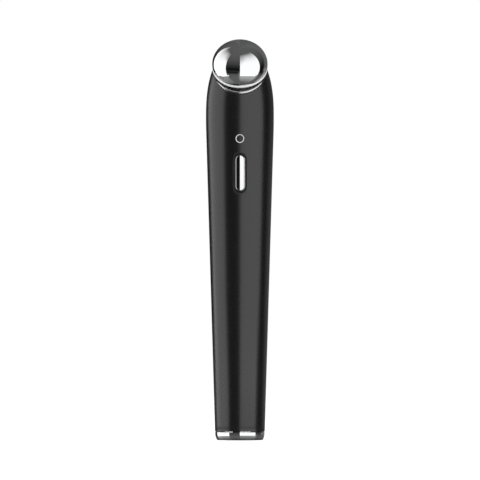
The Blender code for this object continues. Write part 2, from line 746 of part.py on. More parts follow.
def lower_board_place(share):
    """Height at a share of the way from the board's lower screw to the switch's lower edge."""
    return LOWER_RIB + (BUTTON_HEIGHT - SWITCH_SIZE / 2 - LOWER_RIB) * share


def add_switch(surface):
    """Tact switch with the well that its plunger sinks into."""
    switch = board_part(
        "tact_switch", SWITCH_SIZE, SWITCH_SIZE, SWITCH_THICKNESS, BUTTON_HEIGHT, surface
    )
    top = PART_DEPTH + SWITCH_THICKNESS
    bottom = top - SWITCH_WELL_DEPTH
    well = PLUNGER_RADIUS + FIT_GAP
    outline = [(0.0, bottom), (well, bottom), (well, top + CUT_OVERRUN), (0.0, top + CUT_OVERRUN)]
    cut(switch, front_object("switch_well", turned(outline, SMALL_SEGMENTS), BUTTON_HEIGHT))
    return switch


def add_plunger(surface, axis):
    """Plunger that the button pushes into the switch."""
    flange_top = seal_front() - SEAL_FLANGE_THICKNESS - FIT_GAP
    top = flange_top - BUTTON_FLANGE_THICKNESS - FIT_GAP
    bottom = PART_DEPTH + SWITCH_THICKNESS - SWITCH_WELL_DEPTH + BUTTON_TRAVEL + FIT_GAP
    outline = [(0.0, bottom), (PLUNGER_RADIUS, bottom), (PLUNGER_RADIUS, top), (0.0, top)]
    return add_object("switch_plunger", turned(outline, SMALL_SEGMENTS), surface, axis)


def add_coil(surface):
    """Step-up coil: a small drum on the board."""
    waist = COIL_RADIUS - COIL_WAIST
    top = PART_DEPTH + COIL_THICKNESS
    outline = [
        (0.0, PART_DEPTH),
        (COIL_RADIUS, PART_DEPTH),
        (COIL_RADIUS, PART_DEPTH + COIL_RIM),
        (waist, PART_DEPTH + COIL_RIM),
        (waist, top - COIL_RIM),
        (COIL_RADIUS, top - COIL_RIM),
        (COIL_RADIUS, top),
        (0.0, top),
    ]
    height = lower_board_place(COIL_PLACE_SHARE)
    return front_object("step_up_coil", turned(outline, SMALL_SEGMENTS), height, surface)


def add_leaf(surface):
    """Leaf spring that rises from the board to the sleeve's inner wall."""
    foot = UPPER_RIB - LEAF_LENGTH * LEAF_PEAK_SHARE
    bend = foot + LEAF_LENGTH * LEAF_BEND_SHARE
    peak = foot + LEAF_LENGTH * LEAF_PEAK_SHARE
    tip = foot + LEAF_LENGTH
    side = LEAF_OFFSET + LEAF_WIDTH / 2
    reach = math.sqrt(inner_radius(foot) ** 2 - side ** 2) - SEAT_GAP
    start = PART_DEPTH + LEAF_THICKNESS
    upper = [(foot, start), (bend, start), (peak, reach), (tip, reach - LEAF_TIP_DROP)]
    lower = [(height, depth - LEAF_THICKNESS) for height, depth in upper]
    rows = []
    for across in (LEAF_OFFSET - LEAF_WIDTH / 2, side):
        rows.append([Vector((across, -depth, height)) for height, depth in upper + lower[::-1]])
    bm = bmesh.new()
    ends = [[bm.verts.new(point) for point in row] for row in rows]
    for row in ends:
        bm.faces.new(row)
    for index in range(len(ends[0])):
        after = (index + 1) % len(ends[0])
        bm.faces.new((ends[0][index], ends[0][after], ends[1][after], ends[1][index]))
    return add_object("sleeve_contact", cleaned(bm), surface)


def add_carrier(surface):
    """Frame of the board and motor: a foot, an open channel, two screw ribs and two saddles."""
    half = CARRIER_WIDTH / 2
    inside = half - CARRIER_WALL
    back_inside = CARRIER_BACK - CARRIER_WALL
    channel = [
        (-half, -CARRIER_FRONT),
        (-inside, -CARRIER_FRONT),
        (-inside, back_inside),
        (inside, back_inside),
        (inside, -CARRIER_FRONT),
        (half, -CARRIER_FRONT),
        (half, CARRIER_BACK),
        (-half, CARRIER_BACK),
    ]
    overlap = CARRIER_WALL / 2
    carrier = add_object("board_carrier", extruded(channel, FOOT_TOP - overlap, CARRIER_TOP), surface)
    foot_radius = inner_radius(FOOT_BOTTOM) - SEAT_GAP
    disc = [(0.0, FOOT_BOTTOM), (foot_radius, FOOT_BOTTOM), (foot_radius, FOOT_TOP), (0.0, FOOT_TOP)]
    foot = add_object("carrier_foot", turned(disc, HEAD_SEGMENTS))
    low = (-FOOT_WIDTH / 2, -CROWN_RADIUS, FOOT_BOTTOM - CUT_OVERRUN)
    high = (FOOT_WIDTH / 2, CARRIER_BACK, FOOT_TOP + CUT_OVERRUN)
    cut(foot, add_object("foot_trim", box(low, high)), "INTERSECT")
    cut(carrier, foot, "UNION")
    ribs = [(height, CARRIER_RIB, CARRIER_FRONT) for height in (LOWER_RIB, UPPER_RIB)]
    for share in SADDLE_SHARES:
        ribs.append((MOTOR_BOTTOM + MOTOR_LENGTH * share, SADDLE_THICKNESS, MOTOR_DEPTH))
    for number, (height, thickness, front) in enumerate(ribs, 1):
        low = (-inside - overlap, -front, height - thickness / 2)
        high = (inside + overlap, back_inside + overlap, height + thickness / 2)
        cut(carrier, add_object(f"carrier_rib_{number}", box(low, high)), "UNION")
    bed = BOOT_RADIUS + FIT_GAP
    bed_top = CARRIER_TOP + CUT_OVERRUN
    outline = [(0.0, BOARD_TOP), (bed, BOARD_TOP), (bed, bed_top), (0.0, bed_top)]
    motor_bed = add_object("motor_bed", turned(outline, HEAD_SEGMENTS))
    motor_bed.location = (0.0, -MOTOR_DEPTH, 0.0)
    cut(carrier, motor_bed)
    hole_bottom = PART_DEPTH - BOARD_SCREW_LENGTH - SEAT_GAP
    for number, height in enumerate((LOWER_RIB, UPPER_RIB), 1):
        cut(carrier, screw_hole(f"rib_hole_{number}", BOARD_SCREW_RADIUS, height, hole_bottom))
    low = FOOT_BOTTOM - CUT_OVERRUN
    high = FOOT_TOP + CUT_OVERRUN
    for number, side in enumerate((-1, 1), 1):
        cut(carrier, upright_hole(f"foot_hole_{number}", side, low, high))
    cut(carrier, tab_slot("foot_slot", low, high))
    return carrier


def upright_hole(name, side, low, high):
    """Upright cutter for a carrier screw on one side."""
    hole = CARRIER_SCREW_RADIUS + FIT_GAP
    outline = [(0.0, low), (hole, low), (hole, high), (0.0, high)]
    cutter = add_object(name, turned(outline, TINY_SEGMENTS))
    cutter.location = carrier_screw_place(side)
    return cutter


def carrier_screw_place(side):
    """Place of a carrier screw's axis, inside the battery tube's wall."""
    return (side * CARRIER_SCREW_OFFSET, -CARRIER_SCREW_DEPTH, 0.0)


def tab_slot(name, low, high):
    """Upright slot for the contact plate's tab."""
    half = TAB_WIDTH / 2 + SEAT_GAP
    back = -TAB_DEPTH + SEAT_GAP
    front = -TAB_DEPTH - PLATE_THICKNESS - SEAT_GAP
    return add_object(name, box((TAB_OFFSET - half, front, low), (TAB_OFFSET + half, back, high)))


def add_carrier_screws(surface):
    """Two screws through the carrier's foot into the battery tube's end wall."""
    outline = screw_outline(CARRIER_SCREW_RADIUS, FOOT_THICKNESS + CARRIER_SCREW_GRIP)
    placed = [(radius, rise + FOOT_TOP + FIT_GAP) for radius, rise in outline]
    for number, side in enumerate((-1, 1), 1):
        screw = add_object(f"carrier_screw_{number}", turned(placed, TINY_SEGMENTS), surface)
        screw.location = carrier_screw_place(side)


def add_battery_tube(surface):
    """Round holder of the cell, closed above, with a locating foot below."""
    foot = inner_radius(TUBE_BOTTOM) - SEAT_GAP
    foot_top = TUBE_BOTTOM + TUBE_FOOT_HEIGHT
    outline = [
        (0.0, BAY_TOP),
        (BAY_RADIUS, BAY_TOP),
        (BAY_RADIUS, TUBE_BOTTOM),
        (foot, TUBE_BOTTOM),
        (foot, foot_top),
        (TUBE_RADIUS, foot_top + foot - TUBE_RADIUS),
        (TUBE_RADIUS, TUBE_TOP),
        (0.0, TUBE_TOP),
    ]
    tube = add_object("battery_tube", turned(outline, HEAD_SEGMENTS), surface)
    bottom = FOOT_TOP + FIT_GAP - FOOT_THICKNESS - CARRIER_SCREW_GRIP - SEAT_GAP
    for number, side in enumerate((-1, 1), 1):
        cut(tube, upright_hole(f"tube_hole_{number}", side, bottom, TUBE_TOP + CUT_OVERRUN))
    cut(tube, tab_slot("tube_slot", BAY_TOP - CUT_OVERRUN, TUBE_TOP + CUT_OVERRUN))
    return tube


def add_cell(surface):
    """AAA cell, its raised contact pointing down at the cap."""
    can_bottom = CELL_BOTTOM + NUB_HEIGHT
    outline = [
        (0.0, CELL_BOTTOM),
        (NUB_RADIUS, CELL_BOTTOM),
        (NUB_RADIUS, can_bottom),
        (CELL_RADIUS - CELL_EDGE, can_bottom),
        (CELL_RADIUS, can_bottom + CELL_EDGE),
        (CELL_RADIUS, CELL_TOP - CELL_EDGE),
        (CELL_RADIUS - CELL_EDGE, CELL_TOP),
        (0.0, CELL_TOP),
    ]
    return add_object("battery_cell", turned(outline, HEAD_SEGMENTS), surface)


def add_cell_spring(surface):
    """Conical spring between the cell and its contact plate."""
    steps_per_turn = 8
    steps = SPRING_TURNS * steps_per_turn
    travel = SPRING_LENGTH - 2 * SPRING_WIRE_RADIUS
    points = []
    for step in range(steps + 1):
        share = step / steps
        angle = math.tau * step / steps_per_turn
        radius = SPRING_TIP_RADIUS + (SPRING_RADIUS - SPRING_TIP_RADIUS) * share
        height = SPRING_BOTTOM + SPRING_WIRE_RADIUS + travel * share
        points.append((radius * math.cos(angle), radius * math.sin(angle), height))
    return add_wire("cell_spring", points, SPRING_WIRE_RADIUS, surface)


def add_cell_plate(surface):
    """Contact plate above the spring, with a tab that rises to the board's back."""
    top = PLATE_BOTTOM + PLATE_THICKNESS
    disc = [(0.0, PLATE_BOTTOM), (PLATE_RADIUS, PLATE_BOTTOM), (PLATE_RADIUS, top), (0.0, top)]
    plate = add_object("cell_plate", turned(disc, HEAD_SEGMENTS), surface)
    left = TAB_OFFSET - TAB_WIDTH / 2
    right = TAB_OFFSET + TAB_WIDTH / 2
    front = -TAB_DEPTH - PLATE_THICKNESS
    tab_top = LOWER_RIB - CARRIER_RIB / 2 - SEAT_GAP
    rise = box((left, front, PLATE_BOTTOM + PLATE_THICKNESS / 2), (right, -TAB_DEPTH, tab_top))
    reach = box((left, -BOARD_BACK + SEAT_GAP, tab_top - PLATE_THICKNESS), (right, -TAB_DEPTH, tab_top))
    cut(plate, add_object("plate_rise", rise), "UNION")
    cut(plate, add_object("plate_reach", reach), "UNION")
    return plate


def add_motor(can_surface, boot_surface, shaft_surface, weight_surface):
    """Vibration motor in its rubber boot, with a shaft that spins an off-centre weight."""
    seat = (0.0, -MOTOR_DEPTH, 0.0)
    bore = SHAFT_RADIUS + RUNNING_GAP
    nose_top = MOTOR_TOP + MOTOR_NOSE_HEIGHT
    bore_bottom = MOTOR_TOP - SHAFT_BURIED - SEAT_GAP
    can = [
        (0.0, MOTOR_BOTTOM),
        (MOTOR_RADIUS, MOTOR_BOTTOM),
        (MOTOR_RADIUS, MOTOR_TOP),
        (MOTOR_NOSE_RADIUS, MOTOR_TOP),
        (MOTOR_NOSE_RADIUS, nose_top),
        (bore, nose_top),
        (bore, bore_bottom),
        (0.0, bore_bottom),
    ]
    add_object("motor_can", turned(can, SMALL_SEGMENTS), can_surface).location = seat
    hollow = MOTOR_RADIUS + FIT_GAP
    floor_top = MOTOR_BOTTOM - FIT_GAP
    floor = floor_top - BOOT_FLOOR
    opening = MOTOR_RADIUS / 2
    boot_top = MOTOR_TOP - BOOT_SHORTFALL
    boot = [
        (opening, floor),
        (BOOT_RADIUS, floor),
        (BOOT_RADIUS, boot_top),
        (hollow, boot_top),
        (hollow, floor_top),
        (opening, floor_top),
    ]
    add_object("motor_boot", turned(boot, SMALL_SEGMENTS), boot_surface).location = seat
    spin_axis = add_empty("spin_axis", seat)
    shaft_bottom = MOTOR_TOP - SHAFT_BURIED
    shaft_top = WEIGHT_TOP + SHAFT_END
    shaft = [(0.0, shaft_bottom), (SHAFT_RADIUS, shaft_bottom), (SHAFT_RADIUS, shaft_top), (0.0, shaft_top)]
    add_object("motor_shaft", turned(shaft, TINY_SEGMENTS), shaft_surface, spin_axis)
    half_disc = arc((0.0, 0.0), (WEIGHT_RADIUS, WEIGHT_RADIUS), 180, 360, SMALL_SEGMENTS // 2)
    hub = arc((0.0, 0.0), (WEIGHT_HUB_RADIUS, WEIGHT_HUB_RADIUS), 0, 180, TINY_SEGMENTS // 2)
    weight = extruded(half_disc + hub, WEIGHT_BOTTOM, WEIGHT_TOP)
    weight = add_object("eccentric_weight", weight, weight_surface, spin_axis)
    hole = SHAFT_RADIUS + FIT_GAP
    low = WEIGHT_BOTTOM - CUT_OVERRUN
    high = WEIGHT_TOP + CUT_OVERRUN
    bore_outline = [(0.0, low), (hole, low), (hole, high), (0.0, high)]
    cut(weight, add_object("weight_bore", turned(bore_outline, TINY_SEGMENTS), parent=spin_axis))


def add_motor_leads(surfaces):
    """Two wires from the motor's end to the board's upper edge."""
    end_depth = BOARD_BACK - LEAD_RADIUS - FIT_GAP
    end_height = BOARD_TOP - BOARD_MARGIN / 2
    gap = SEAT_GAP + LEAD_RADIUS
    for number, (side, surface) in enumerate(zip((-1, 1), surfaces), 1):
        across = side * MOTOR_RADIUS / 4
        route = [
            (across, -MOTOR_DEPTH, MOTOR_BOTTOM - FIT_GAP),
            (across, -MOTOR_DEPTH, MOTOR_BOTTOM - BOOT_FLOOR - FIT_GAP - gap),
            (2 * across, -end_depth, end_height),
        ]
        add_wire(f"motor_lead_{number}", smooth_route(route), LEAD_RADIUS, surface)


def add_head_lead(surface, head):
    """Wire from the head's ring terminal, past the motor, to the board's front."""
    lug_bottom = -COLLAR_SINK - FIT_GAP - LUG_THICKNESS
    tab_end = Vector((LUG_TAB_LENGTH - LEAD_RADIUS, 0.0, lug_bottom - LEAD_RADIUS - FIT_GAP))
    frame = Matrix.Translation(head.location) @ Matrix.Rotation(HEAD_TILT, 4, "X")
    start = frame @ tab_end
    front = PART_DEPTH + LEAD_RADIUS + FIT_GAP
    side = CARRIER_WIDTH / 2 - CARRIER_WALL / 2
    route = [
        start,
        (side - LEAD_RADIUS, -CARRIER_FRONT, WEIGHT_TOP),
        (side, -front, MOTOR_TOP),
        (side, -front, MOTOR_BOTTOM),
        (HEAD_LEAD_OFFSET, -front, BOARD_TOP - BOARD_MARGIN),
    ]
    return add_wire("head_lead", smooth_route(route), LEAD_RADIUS, surface)


def thread_ridge(angle, height):
    """Share of the thread's depth at a place: 1 on a right-hand ridge and 0 between ridges."""
    phase = (height / THREAD_PITCH - angle / math.tau) % 1
    away = abs(phase - 0.5)
    slope = (THREAD_FOOT_SHARE - away) / (THREAD_FOOT_SHARE - THREAD_CREST_SHARE)
    return min(1.0, max(0.0, slope))


def cut_thread(bm, radius, low, high, fade_low):
    """Move the points of a round wall outwards along a helix, faded out at its ends."""
    fade = THREAD_PITCH / 2
    for vert in bm.verts:
        height = vert.co.z
        if abs(vert.co.xy.length - radius) > MERGE_DISTANCE or not low < height < high:
            continue
        share = min(1.0, (high - height) / fade)
        if fade_low:
            share = min(share, (height - low) / fade)
        angle = math.atan2(vert.co.y, vert.co.x)
        grown = radius + THREAD_DEPTH * share * thread_ridge(angle, height)
        vert.co.xy *= grown / radius


def threaded_wall(radius, low, high):
    """Points up a wall, close enough together to carry the thread."""
    count = max(2, round((high - low) / THREAD_PITCH * THREAD_RINGS_PER_TURN))
    return [(radius, low + (high - low) * step / count) for step in range(count + 1)]


def add_bush(surface):
    """Threaded ring fixed in the sleeve's tail."""
    thread_top = SPIGOT_TOP + THREAD_PITCH / 2
    outside = inner_radius(BUSH_BOTTOM) - FIT_GAP
    lower = BUSH_BOTTOM - MERGE_DISTANCE * 2
    wall = threaded_wall(BUSH_BORE, BUSH_BOTTOM, thread_top)
    outline = [*wall[::-1], (outside, BUSH_BOTTOM), (outside, BUSH_TOP), (BUSH_BORE, BUSH_TOP)]
    bm = turned(outline, HEAD_SEGMENTS)
    cut_thread(bm, BUSH_BORE, lower, thread_top, False)
    return add_object("tail_bush", bm, surface)


def add_cap(surface):
    """Screw cap: a rounded visible base and a threaded hollow spigot."""
    side = TAIL_RADIUS - CAP_RECESS
    base = side - CAP_EDGE_WIDTH
    edge = arc((base, CAP_EDGE_HEIGHT), (CAP_EDGE_WIDTH, CAP_EDGE_HEIGHT), -90, 0, 6)
    thread_high = SPIGOT_TOP - SEAT_GAP
    thread_low = thread_high - THREAD_LENGTH
    cup = SPIGOT_RADIUS - CAP_CUP_WALL
    seat = SPIGOT_RADIUS - CAP_CUP_WALL / 2
    seat_height = SPIGOT_TOP - CONTACT_SEAT
    outline = [
        (0.0, 0.0),
        *edge,
        (side, CAP_SHOULDER),
        (SPIGOT_RADIUS, CAP_SHOULDER),
        *threaded_wall(SPIGOT_RADIUS, thread_low, thread_high),
        (SPIGOT_RADIUS, SPIGOT_TOP),
        (seat, SPIGOT_TOP),
        (seat, seat_height),
        (cup, seat_height),
        (cup, CAP_FLOOR),
        (0.0, CAP_FLOOR),
    ]
    bm = turned(outline, HEAD_SEGMENTS)
    cut_thread(bm, SPIGOT_RADIUS, thread_low, thread_high, True)
    return add_object("tail_cap", bm, surface)


def add_tail_contact(surface):
    """Dished contact disc on the ledge inside the cap's spigot."""
    rim = SPIGOT_RADIUS - CAP_CUP_WALL / 2 - FIT_GAP
    flat_top = CONTACT_BOTTOM + CONTACT_THICKNESS
    outline = [
        (0.0, CONTACT_BOTTOM),
        (rim, CONTACT_BOTTOM),
        (rim, flat_top),
        (CONTACT_DISH_RADIUS + CONTACT_DISH, flat_top),
        (CONTACT_DISH_RADIUS, CONTACT_TOP),
        (0.0, CONTACT_TOP),
    ]
    return add_object("tail_contact", turned(outline, SMALL_SEGMENTS), surface)


def add_o_ring(surface):
    """Rubber ring round the spigot, between the cap's shoulder and the bush."""
    radius = O_RING_THICKNESS / 2
    centre = (SPIGOT_RADIUS + FIT_GAP + radius, CAP_SHOULDER + SEAT_GAP + radius)
    outline = arc(centre, (radius, radius), 0, 300, 5)
    return add_object("tail_o_ring", turned(outline, HEAD_SEGMENTS), surface)


def make_materials():
    """The object's materials by name."""
    table = {
        "black_metal": ((0.025, 0.025, 0.027), 0.28, 0.75),
        "chrome": ((0.80, 0.80, 0.82), 0.05, 1.0),
        "black_plastic": ((0.012, 0.012, 0.013), 0.30, 0.0),
        "silicone": ((0.010, 0.010, 0.010), 0.60, 0.0),
        "smoked_lens": ((0.030, 0.030, 0.032), 0.15, 0.0),
        "satin_metal": ((0.62, 0.62, 0.64), 0.30, 1.0),
        "steel": ((0.50, 0.50, 0.52), 0.30, 1.0),
        "brass": ((0.70, 0.52, 0.25), 0.30, 1.0),
        "grey_plastic": ((0.16, 0.16, 0.17), 0.50, 0.0),
        "board_green": ((0.02, 0.16, 0.07), 0.40, 0.0),
        "ferrite": ((0.06, 0.06, 0.06), 0.70, 0.0),
        "capacitor_tan": ((0.45, 0.30, 0.12), 0.50, 0.0),
        "led_white": ((0.80, 0.80, 0.70), 0.30, 0.0),
        "rubber": ((0.02, 0.02, 0.02), 0.80, 0.0),
        "red_wire": ((0.55, 0.03, 0.02), 0.45, 0.0),
        "black_wire": ((0.02, 0.02, 0.02), 0.45, 0.0),
        "cell_jacket": ((0.10, 0.12, 0.18), 0.35, 0.2),
    }
    return {name: material(name, *values) for name, values in table.items()}


def main():
    """Clear the scene and build every piece."""
    for old in list(bpy.data.objects):
        bpy.data.objects.remove(old, do_unlink=True)
    looks = make_materials()
    head = add_empty("head_frame", (0.0, -HEAD_DEPTH, HEAD_HEIGHT), (HEAD_TILT, 0.0, 0.0))
    press = add_empty("press_axis", (0.0, 0.0, BUTTON_HEIGHT), (math.pi / 2, 0.0, 0.0))
    add_sleeve(looks["black_metal"], head)
    add_trim_ring(looks["chrome"], head)
    add_collar(looks["black_plastic"], head)
    add_dome(looks["chrome"], head)
    add_head_screw(looks["steel"], head)
    add_head_lug(looks["brass"], head)
    add_head_lead(looks["red_wire"], head)
    add_button(looks["chrome"], press)
    add_seal(looks["silicone"])
    add_lamp(looks["satin_metal"], looks["smoked_lens"])
    add_board(looks["board_green"])
    add_board_screws(looks["steel"])
    add_switch(looks["grey_plastic"])
    add_plunger(looks["black_plastic"], press)
    add_coil(looks["ferrite"])
    board_part(
        "control_chip", CHIP_SIZE, CHIP_SIZE, CHIP_THICKNESS, lower_board_place(CHIP_PLACE_SHARE),
        looks["black_plastic"],
    )
    board_part(
        "supply_capacitor", CAPACITOR_WIDTH, CAPACITOR_LENGTH, CAPACITOR_THICKNESS,
        BUTTON_HEIGHT, looks["capacitor_tan"], -CAPACITOR_OFFSET,
    )
    board_part("indicator_led", LED_SIZE, LED_SIZE, LED_THICKNESS, LAMP_HEIGHT, looks["led_white"])
    add_leaf(looks["brass"])
    add_carrier(looks["grey_plastic"])
    add_carrier_screws(looks["steel"])
    add_motor(looks["steel"], looks["rubber"], looks["steel"], looks["satin_metal"])
    add_motor_leads((looks["black_wire"], looks["red_wire"]))
    add_battery_tube(looks["grey_plastic"])
    add_cell(looks["cell_jacket"])
    add_cell_spring(looks["steel"])
    add_cell_plate(looks["brass"])
    add_bush(looks["brass"])
    add_cap(looks["chrome"])
    add_tail_contact(looks["brass"])
    add_o_ring(looks["rubber"])


main()
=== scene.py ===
"""Finished look of the galvanic eye massager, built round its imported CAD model.

Lengths are in metres, in the model's own frame: z runs up the wand and its front faces -Y.
Finer shells stand in for the solids that show. Bright cards and dark flags round the wand are
seen only by its own reflections.
"""

import json
import math

import bmesh
import bpy
from mathutils import Matrix, Vector


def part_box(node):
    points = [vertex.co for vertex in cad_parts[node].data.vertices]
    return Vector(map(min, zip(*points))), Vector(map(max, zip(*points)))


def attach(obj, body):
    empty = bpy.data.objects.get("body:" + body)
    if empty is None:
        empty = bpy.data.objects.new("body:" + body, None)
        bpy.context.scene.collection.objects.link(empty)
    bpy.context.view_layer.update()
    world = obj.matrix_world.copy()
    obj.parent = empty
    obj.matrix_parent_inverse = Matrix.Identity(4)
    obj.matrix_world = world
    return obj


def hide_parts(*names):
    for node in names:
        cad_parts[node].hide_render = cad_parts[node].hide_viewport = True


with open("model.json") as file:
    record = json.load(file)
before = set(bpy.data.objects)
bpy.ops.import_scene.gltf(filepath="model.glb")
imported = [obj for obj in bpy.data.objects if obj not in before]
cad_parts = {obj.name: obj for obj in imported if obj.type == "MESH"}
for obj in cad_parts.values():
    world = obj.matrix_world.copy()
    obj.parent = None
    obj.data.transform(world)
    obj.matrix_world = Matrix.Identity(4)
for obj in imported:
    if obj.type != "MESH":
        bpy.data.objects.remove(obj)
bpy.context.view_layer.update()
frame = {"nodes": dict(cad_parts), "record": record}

FINISHES = {}

# Camera
LENS = 600.0
SENSOR = 36.0
VIEW_WIDTH = 0.15811
VIEW_HEIGHT = 0.06588
VIEW_SHIFT = 0.00003

# Light
PLAIN_LEVEL = 0.65
LAMP_POWER = 2.2
LAMP_DISTANCE = 0.9
LAMP_SIZE = 0.6
FLOOR_REACH = 60.0

# Fineness
WAND_SEGMENTS = 192
HEAD_SEGMENTS = 160
SMALL_SEGMENTS = 64
TINY_SEGMENTS = 32
CARD_SEGMENTS = 96
CARD_STEPS = 24
SHARP_ANGLE = math.radians(40)
MERGE_DISTANCE = 0.0000005
FIT_GAP = 0.0001
SEAT_GAP = 0.0003

# Sleeve
SLEEVE_BOTTOM = 0.00285
SLEEVE_BREAK = 0.00004
SEAM_HEIGHT = 0.0028
TAIL_RADIUS = 0.0082
CROWN_RADIUS = 0.01118
CROWN_HEIGHT = 0.1065007
NOSE_LENGTH = 0.0238
NOSE_POWER = 2.45
NOSE_STEPS = 90
BLEND_LENGTH = 0.0056
SLEEVE_WALL = 0.0011
NOSE_TOP = CROWN_HEIGHT + NOSE_LENGTH
CUT_START = 0.006
CUT_END = 0.014

# Head: lifts are off the slanted cut plane. Corners are (radius, height, rounding), here and below
HEAD_TILT = math.radians(45)
HEAD_PLACE = (0.0, -0.00370058, 0.12144)
TRIM_WIDTH = 0.00032
TRIM_THICKNESS = 0.00028
TRIM_CORNERS = (
    (0.0, -TRIM_THICKNESS, 0.00013), (TRIM_WIDTH, -TRIM_THICKNESS, 0.00003),
    (TRIM_WIDTH, 0.0, 0.00005), (0.0, 0.0, 0.00013),
)
DOME_RADIUS = 0.00910
DOME_RISE = 0.00713
DOME_WALL = 0.0011
EQUATOR_LIFT = 0.00322
BOSS_RADIUS = 0.0022
BOSS_FOOT = 0.0007
BOSS_DEPTH = 0.0047
LIP_LIFT = 0.00042
LIP_TOP = 0.00170
LIP_GROOVE = 0.00004
LIP_ROLL = (
    (0.00893, 0.00168), (0.00899, 0.00162), (0.009035, 0.00154), (0.00906, 0.00143), (0.00906, 0.00130),
    (0.00904, 0.00116), (0.00899, 0.00103), (0.00891, 0.00089), (0.00881, 0.00075), (0.00870, 0.00060),
    (0.00863, 0.00051), (0.00856, 0.00045), (0.00848, 0.00042),
)
NECK_RADIUS = 0.00822
NECK_TOP = LIP_LIFT - FIT_GAP
BEAD_RADIUS = 0.00905
SCREW_BORE = 0.0011
NECK_CORNERS = (
    (SCREW_BORE, -0.0006, 0.0), (0.0074, -0.0006, 0.0), (0.0074, 0.0001, 0.0),
    (BEAD_RADIUS, 0.0001, 0.00003), (BEAD_RADIUS, 0.00022, 0.00005), (NECK_RADIUS, 0.00027, 0.00003),
    (NECK_RADIUS, NECK_TOP, 0.00002), (0.00671, NECK_TOP, 0.00005), (0.00671, 0.00202, 0.0001),
    (0.00571, 0.00202, 0.0001), (0.00571, 0.0004, 0.0), (SCREW_BORE, 0.0004, 0.0),
)
FLANGE_TOP = 0.00014
PLUG_BOTTOM = -0.0035
SKIRT_WALL = 0.0012
SKIRT_TOP = -0.0012
SKIRT_BOTTOM = -0.0055

# Front: profiles are (offset from the pill's spine, depth, whether that follows the front)
BUTTON_HEIGHT = 0.08785
BUTTON_WIDTH = 0.0030
BUTTON_LENGTH = 0.0117
BUTTON_CROWN_RADIUS = 0.0026
BUTTON_SPINE = (BUTTON_LENGTH - BUTTON_WIDTH) / 2
BUTTON_HALF = BUTTON_WIDTH / 2 - 0.0001
BUTTON_PROFILE = (
    (0.0, 0.007916, False), (BUTTON_HALF + 0.00045, 0.007916, False), (BUTTON_HALF + 0.0005, 0.00796, False),
    (BUTTON_HALF + 0.0005, 0.00827, False), (BUTTON_HALF + 0.00045, 0.008316, False),
    (BUTTON_HALF, 0.008316, False), (BUTTON_HALF, -0.00020, True), (BUTTON_HALF, -0.00015, True),
)
BUTTON_EDGE_WIDTH = 0.00016
BUTTON_EDGE_DROP = 0.00012
BUTTON_EDGE_ANGLES = (22.5, 45.0, 67.5, 90.0)
BUTTON_CROWN_SHARES = (0.88, 0.82, 0.75, 0.66, 0.55, 0.44, 0.33, 0.22, 0.11, 0.0)
POCKET_RIM = BUTTON_WIDTH / 2 + 0.00065
POCKET_PROFILE = (
    (0.0, CUT_START, False), (POCKET_RIM, CUT_START, False), (POCKET_RIM, -0.00030, True),
    (POCKET_RIM, -0.00012, True), (POCKET_RIM + 0.00002, -0.00006, True),
    (POCKET_RIM + 0.00006, -0.00002, True), (POCKET_RIM + 0.00014, 0.0, True),
    (POCKET_RIM + 0.0003, 0.0001, True), (POCKET_RIM + 0.0003, CUT_END, False), (0.0, CUT_END, False),
)
SEAL_BORE = BUTTON_WIDTH / 2 + 0.00012
SEAL_NECK = POCKET_RIM - 0.00005
SEAL_FLANGE = POCKET_RIM + 0.0004
SEAL_PROFILE = (
    (SEAL_BORE, 0.008416, False), (SEAL_FLANGE, 0.008416, False), (SEAL_FLANGE, 0.008816, False),
    (SEAL_NECK, 0.008816, False), (SEAL_NECK, -0.00042, True), (SEAL_NECK - 0.00008, -0.00034, True),
    (SEAL_NECK - 0.00020, -0.00030, True), (SEAL_BORE + 0.00010, -0.00032, True),
    (SEAL_BORE + 0.00003, -0.00036, True), (SEAL_BORE, -0.00044, True),
)
LAMP_HEIGHT = 0.09915
LAMP_RING_RADIUS = 0.00138
LAMP_RING_WALL = 0.00021
PIPE_FOOT = 0.0068
PIPE_FLANGE = 0.0008
PIPE_FLANGE_LOW = 0.0009
PIPE_FLANGE_HIGH = 0.0003

# Tail: the cap's rounded base, its threaded spigot, the bush round it and the cell above
CAP_SIDE = 0.00815
CAP_BASE = 0.0072
CAP_EDGE_HEIGHT = 0.0026
CAP_SHOULDER = 0.00275
CAP_FLOOR = 0.0015
CAP_BREAK = 0.00004
CAP_CHAMFER = 0.0002
SPIGOT_RADIUS = 0.0056
SPIGOT_TOP = 0.00805
CUP_RADIUS = 0.0042
SEAT_RADIUS = 0.0049
SEAT_HEIGHT = 0.00735
BUSH_BORE = 0.00595
BUSH_BOTTOM = 0.00425
BUSH_TOP = 0.0118
BUSH_THREAD_TOP = 0.0088
THREAD_PITCH = 0.0015
THREAD_DEPTH = 0.00045
THREAD_LENGTH = 0.0030
THREAD_FOOT = 0.34
THREAD_CREST = 0.12
THREAD_ROWS = 14
O_RING_HALF = 0.00045
CONTACT_CORNERS = (
    (0.0, 0.00745, 0.0), (0.0048, 0.00745, 0.00008), (0.0048, 0.00795, 0.00008),
    (0.0028, 0.00795, 0.0002), (0.0022, 0.00855, 0.0002), (0.0, 0.00855, 0.0),
)
CELL_CORNERS = (
    (0.0, 0.00885, 0.0), (0.0019, 0.00885, 0.0003), (0.0019, 0.00975, 0.0001),
    (0.00525, 0.00975, 0.0005), (0.00525, 0.05335, 0.0005), (0.0, 0.05335, 0.0),
)
CELL_JACKET = (0.01040, 0.05270, 0.00006)
CELL_BAND = (0.0150, 0.0180, 0.00005)

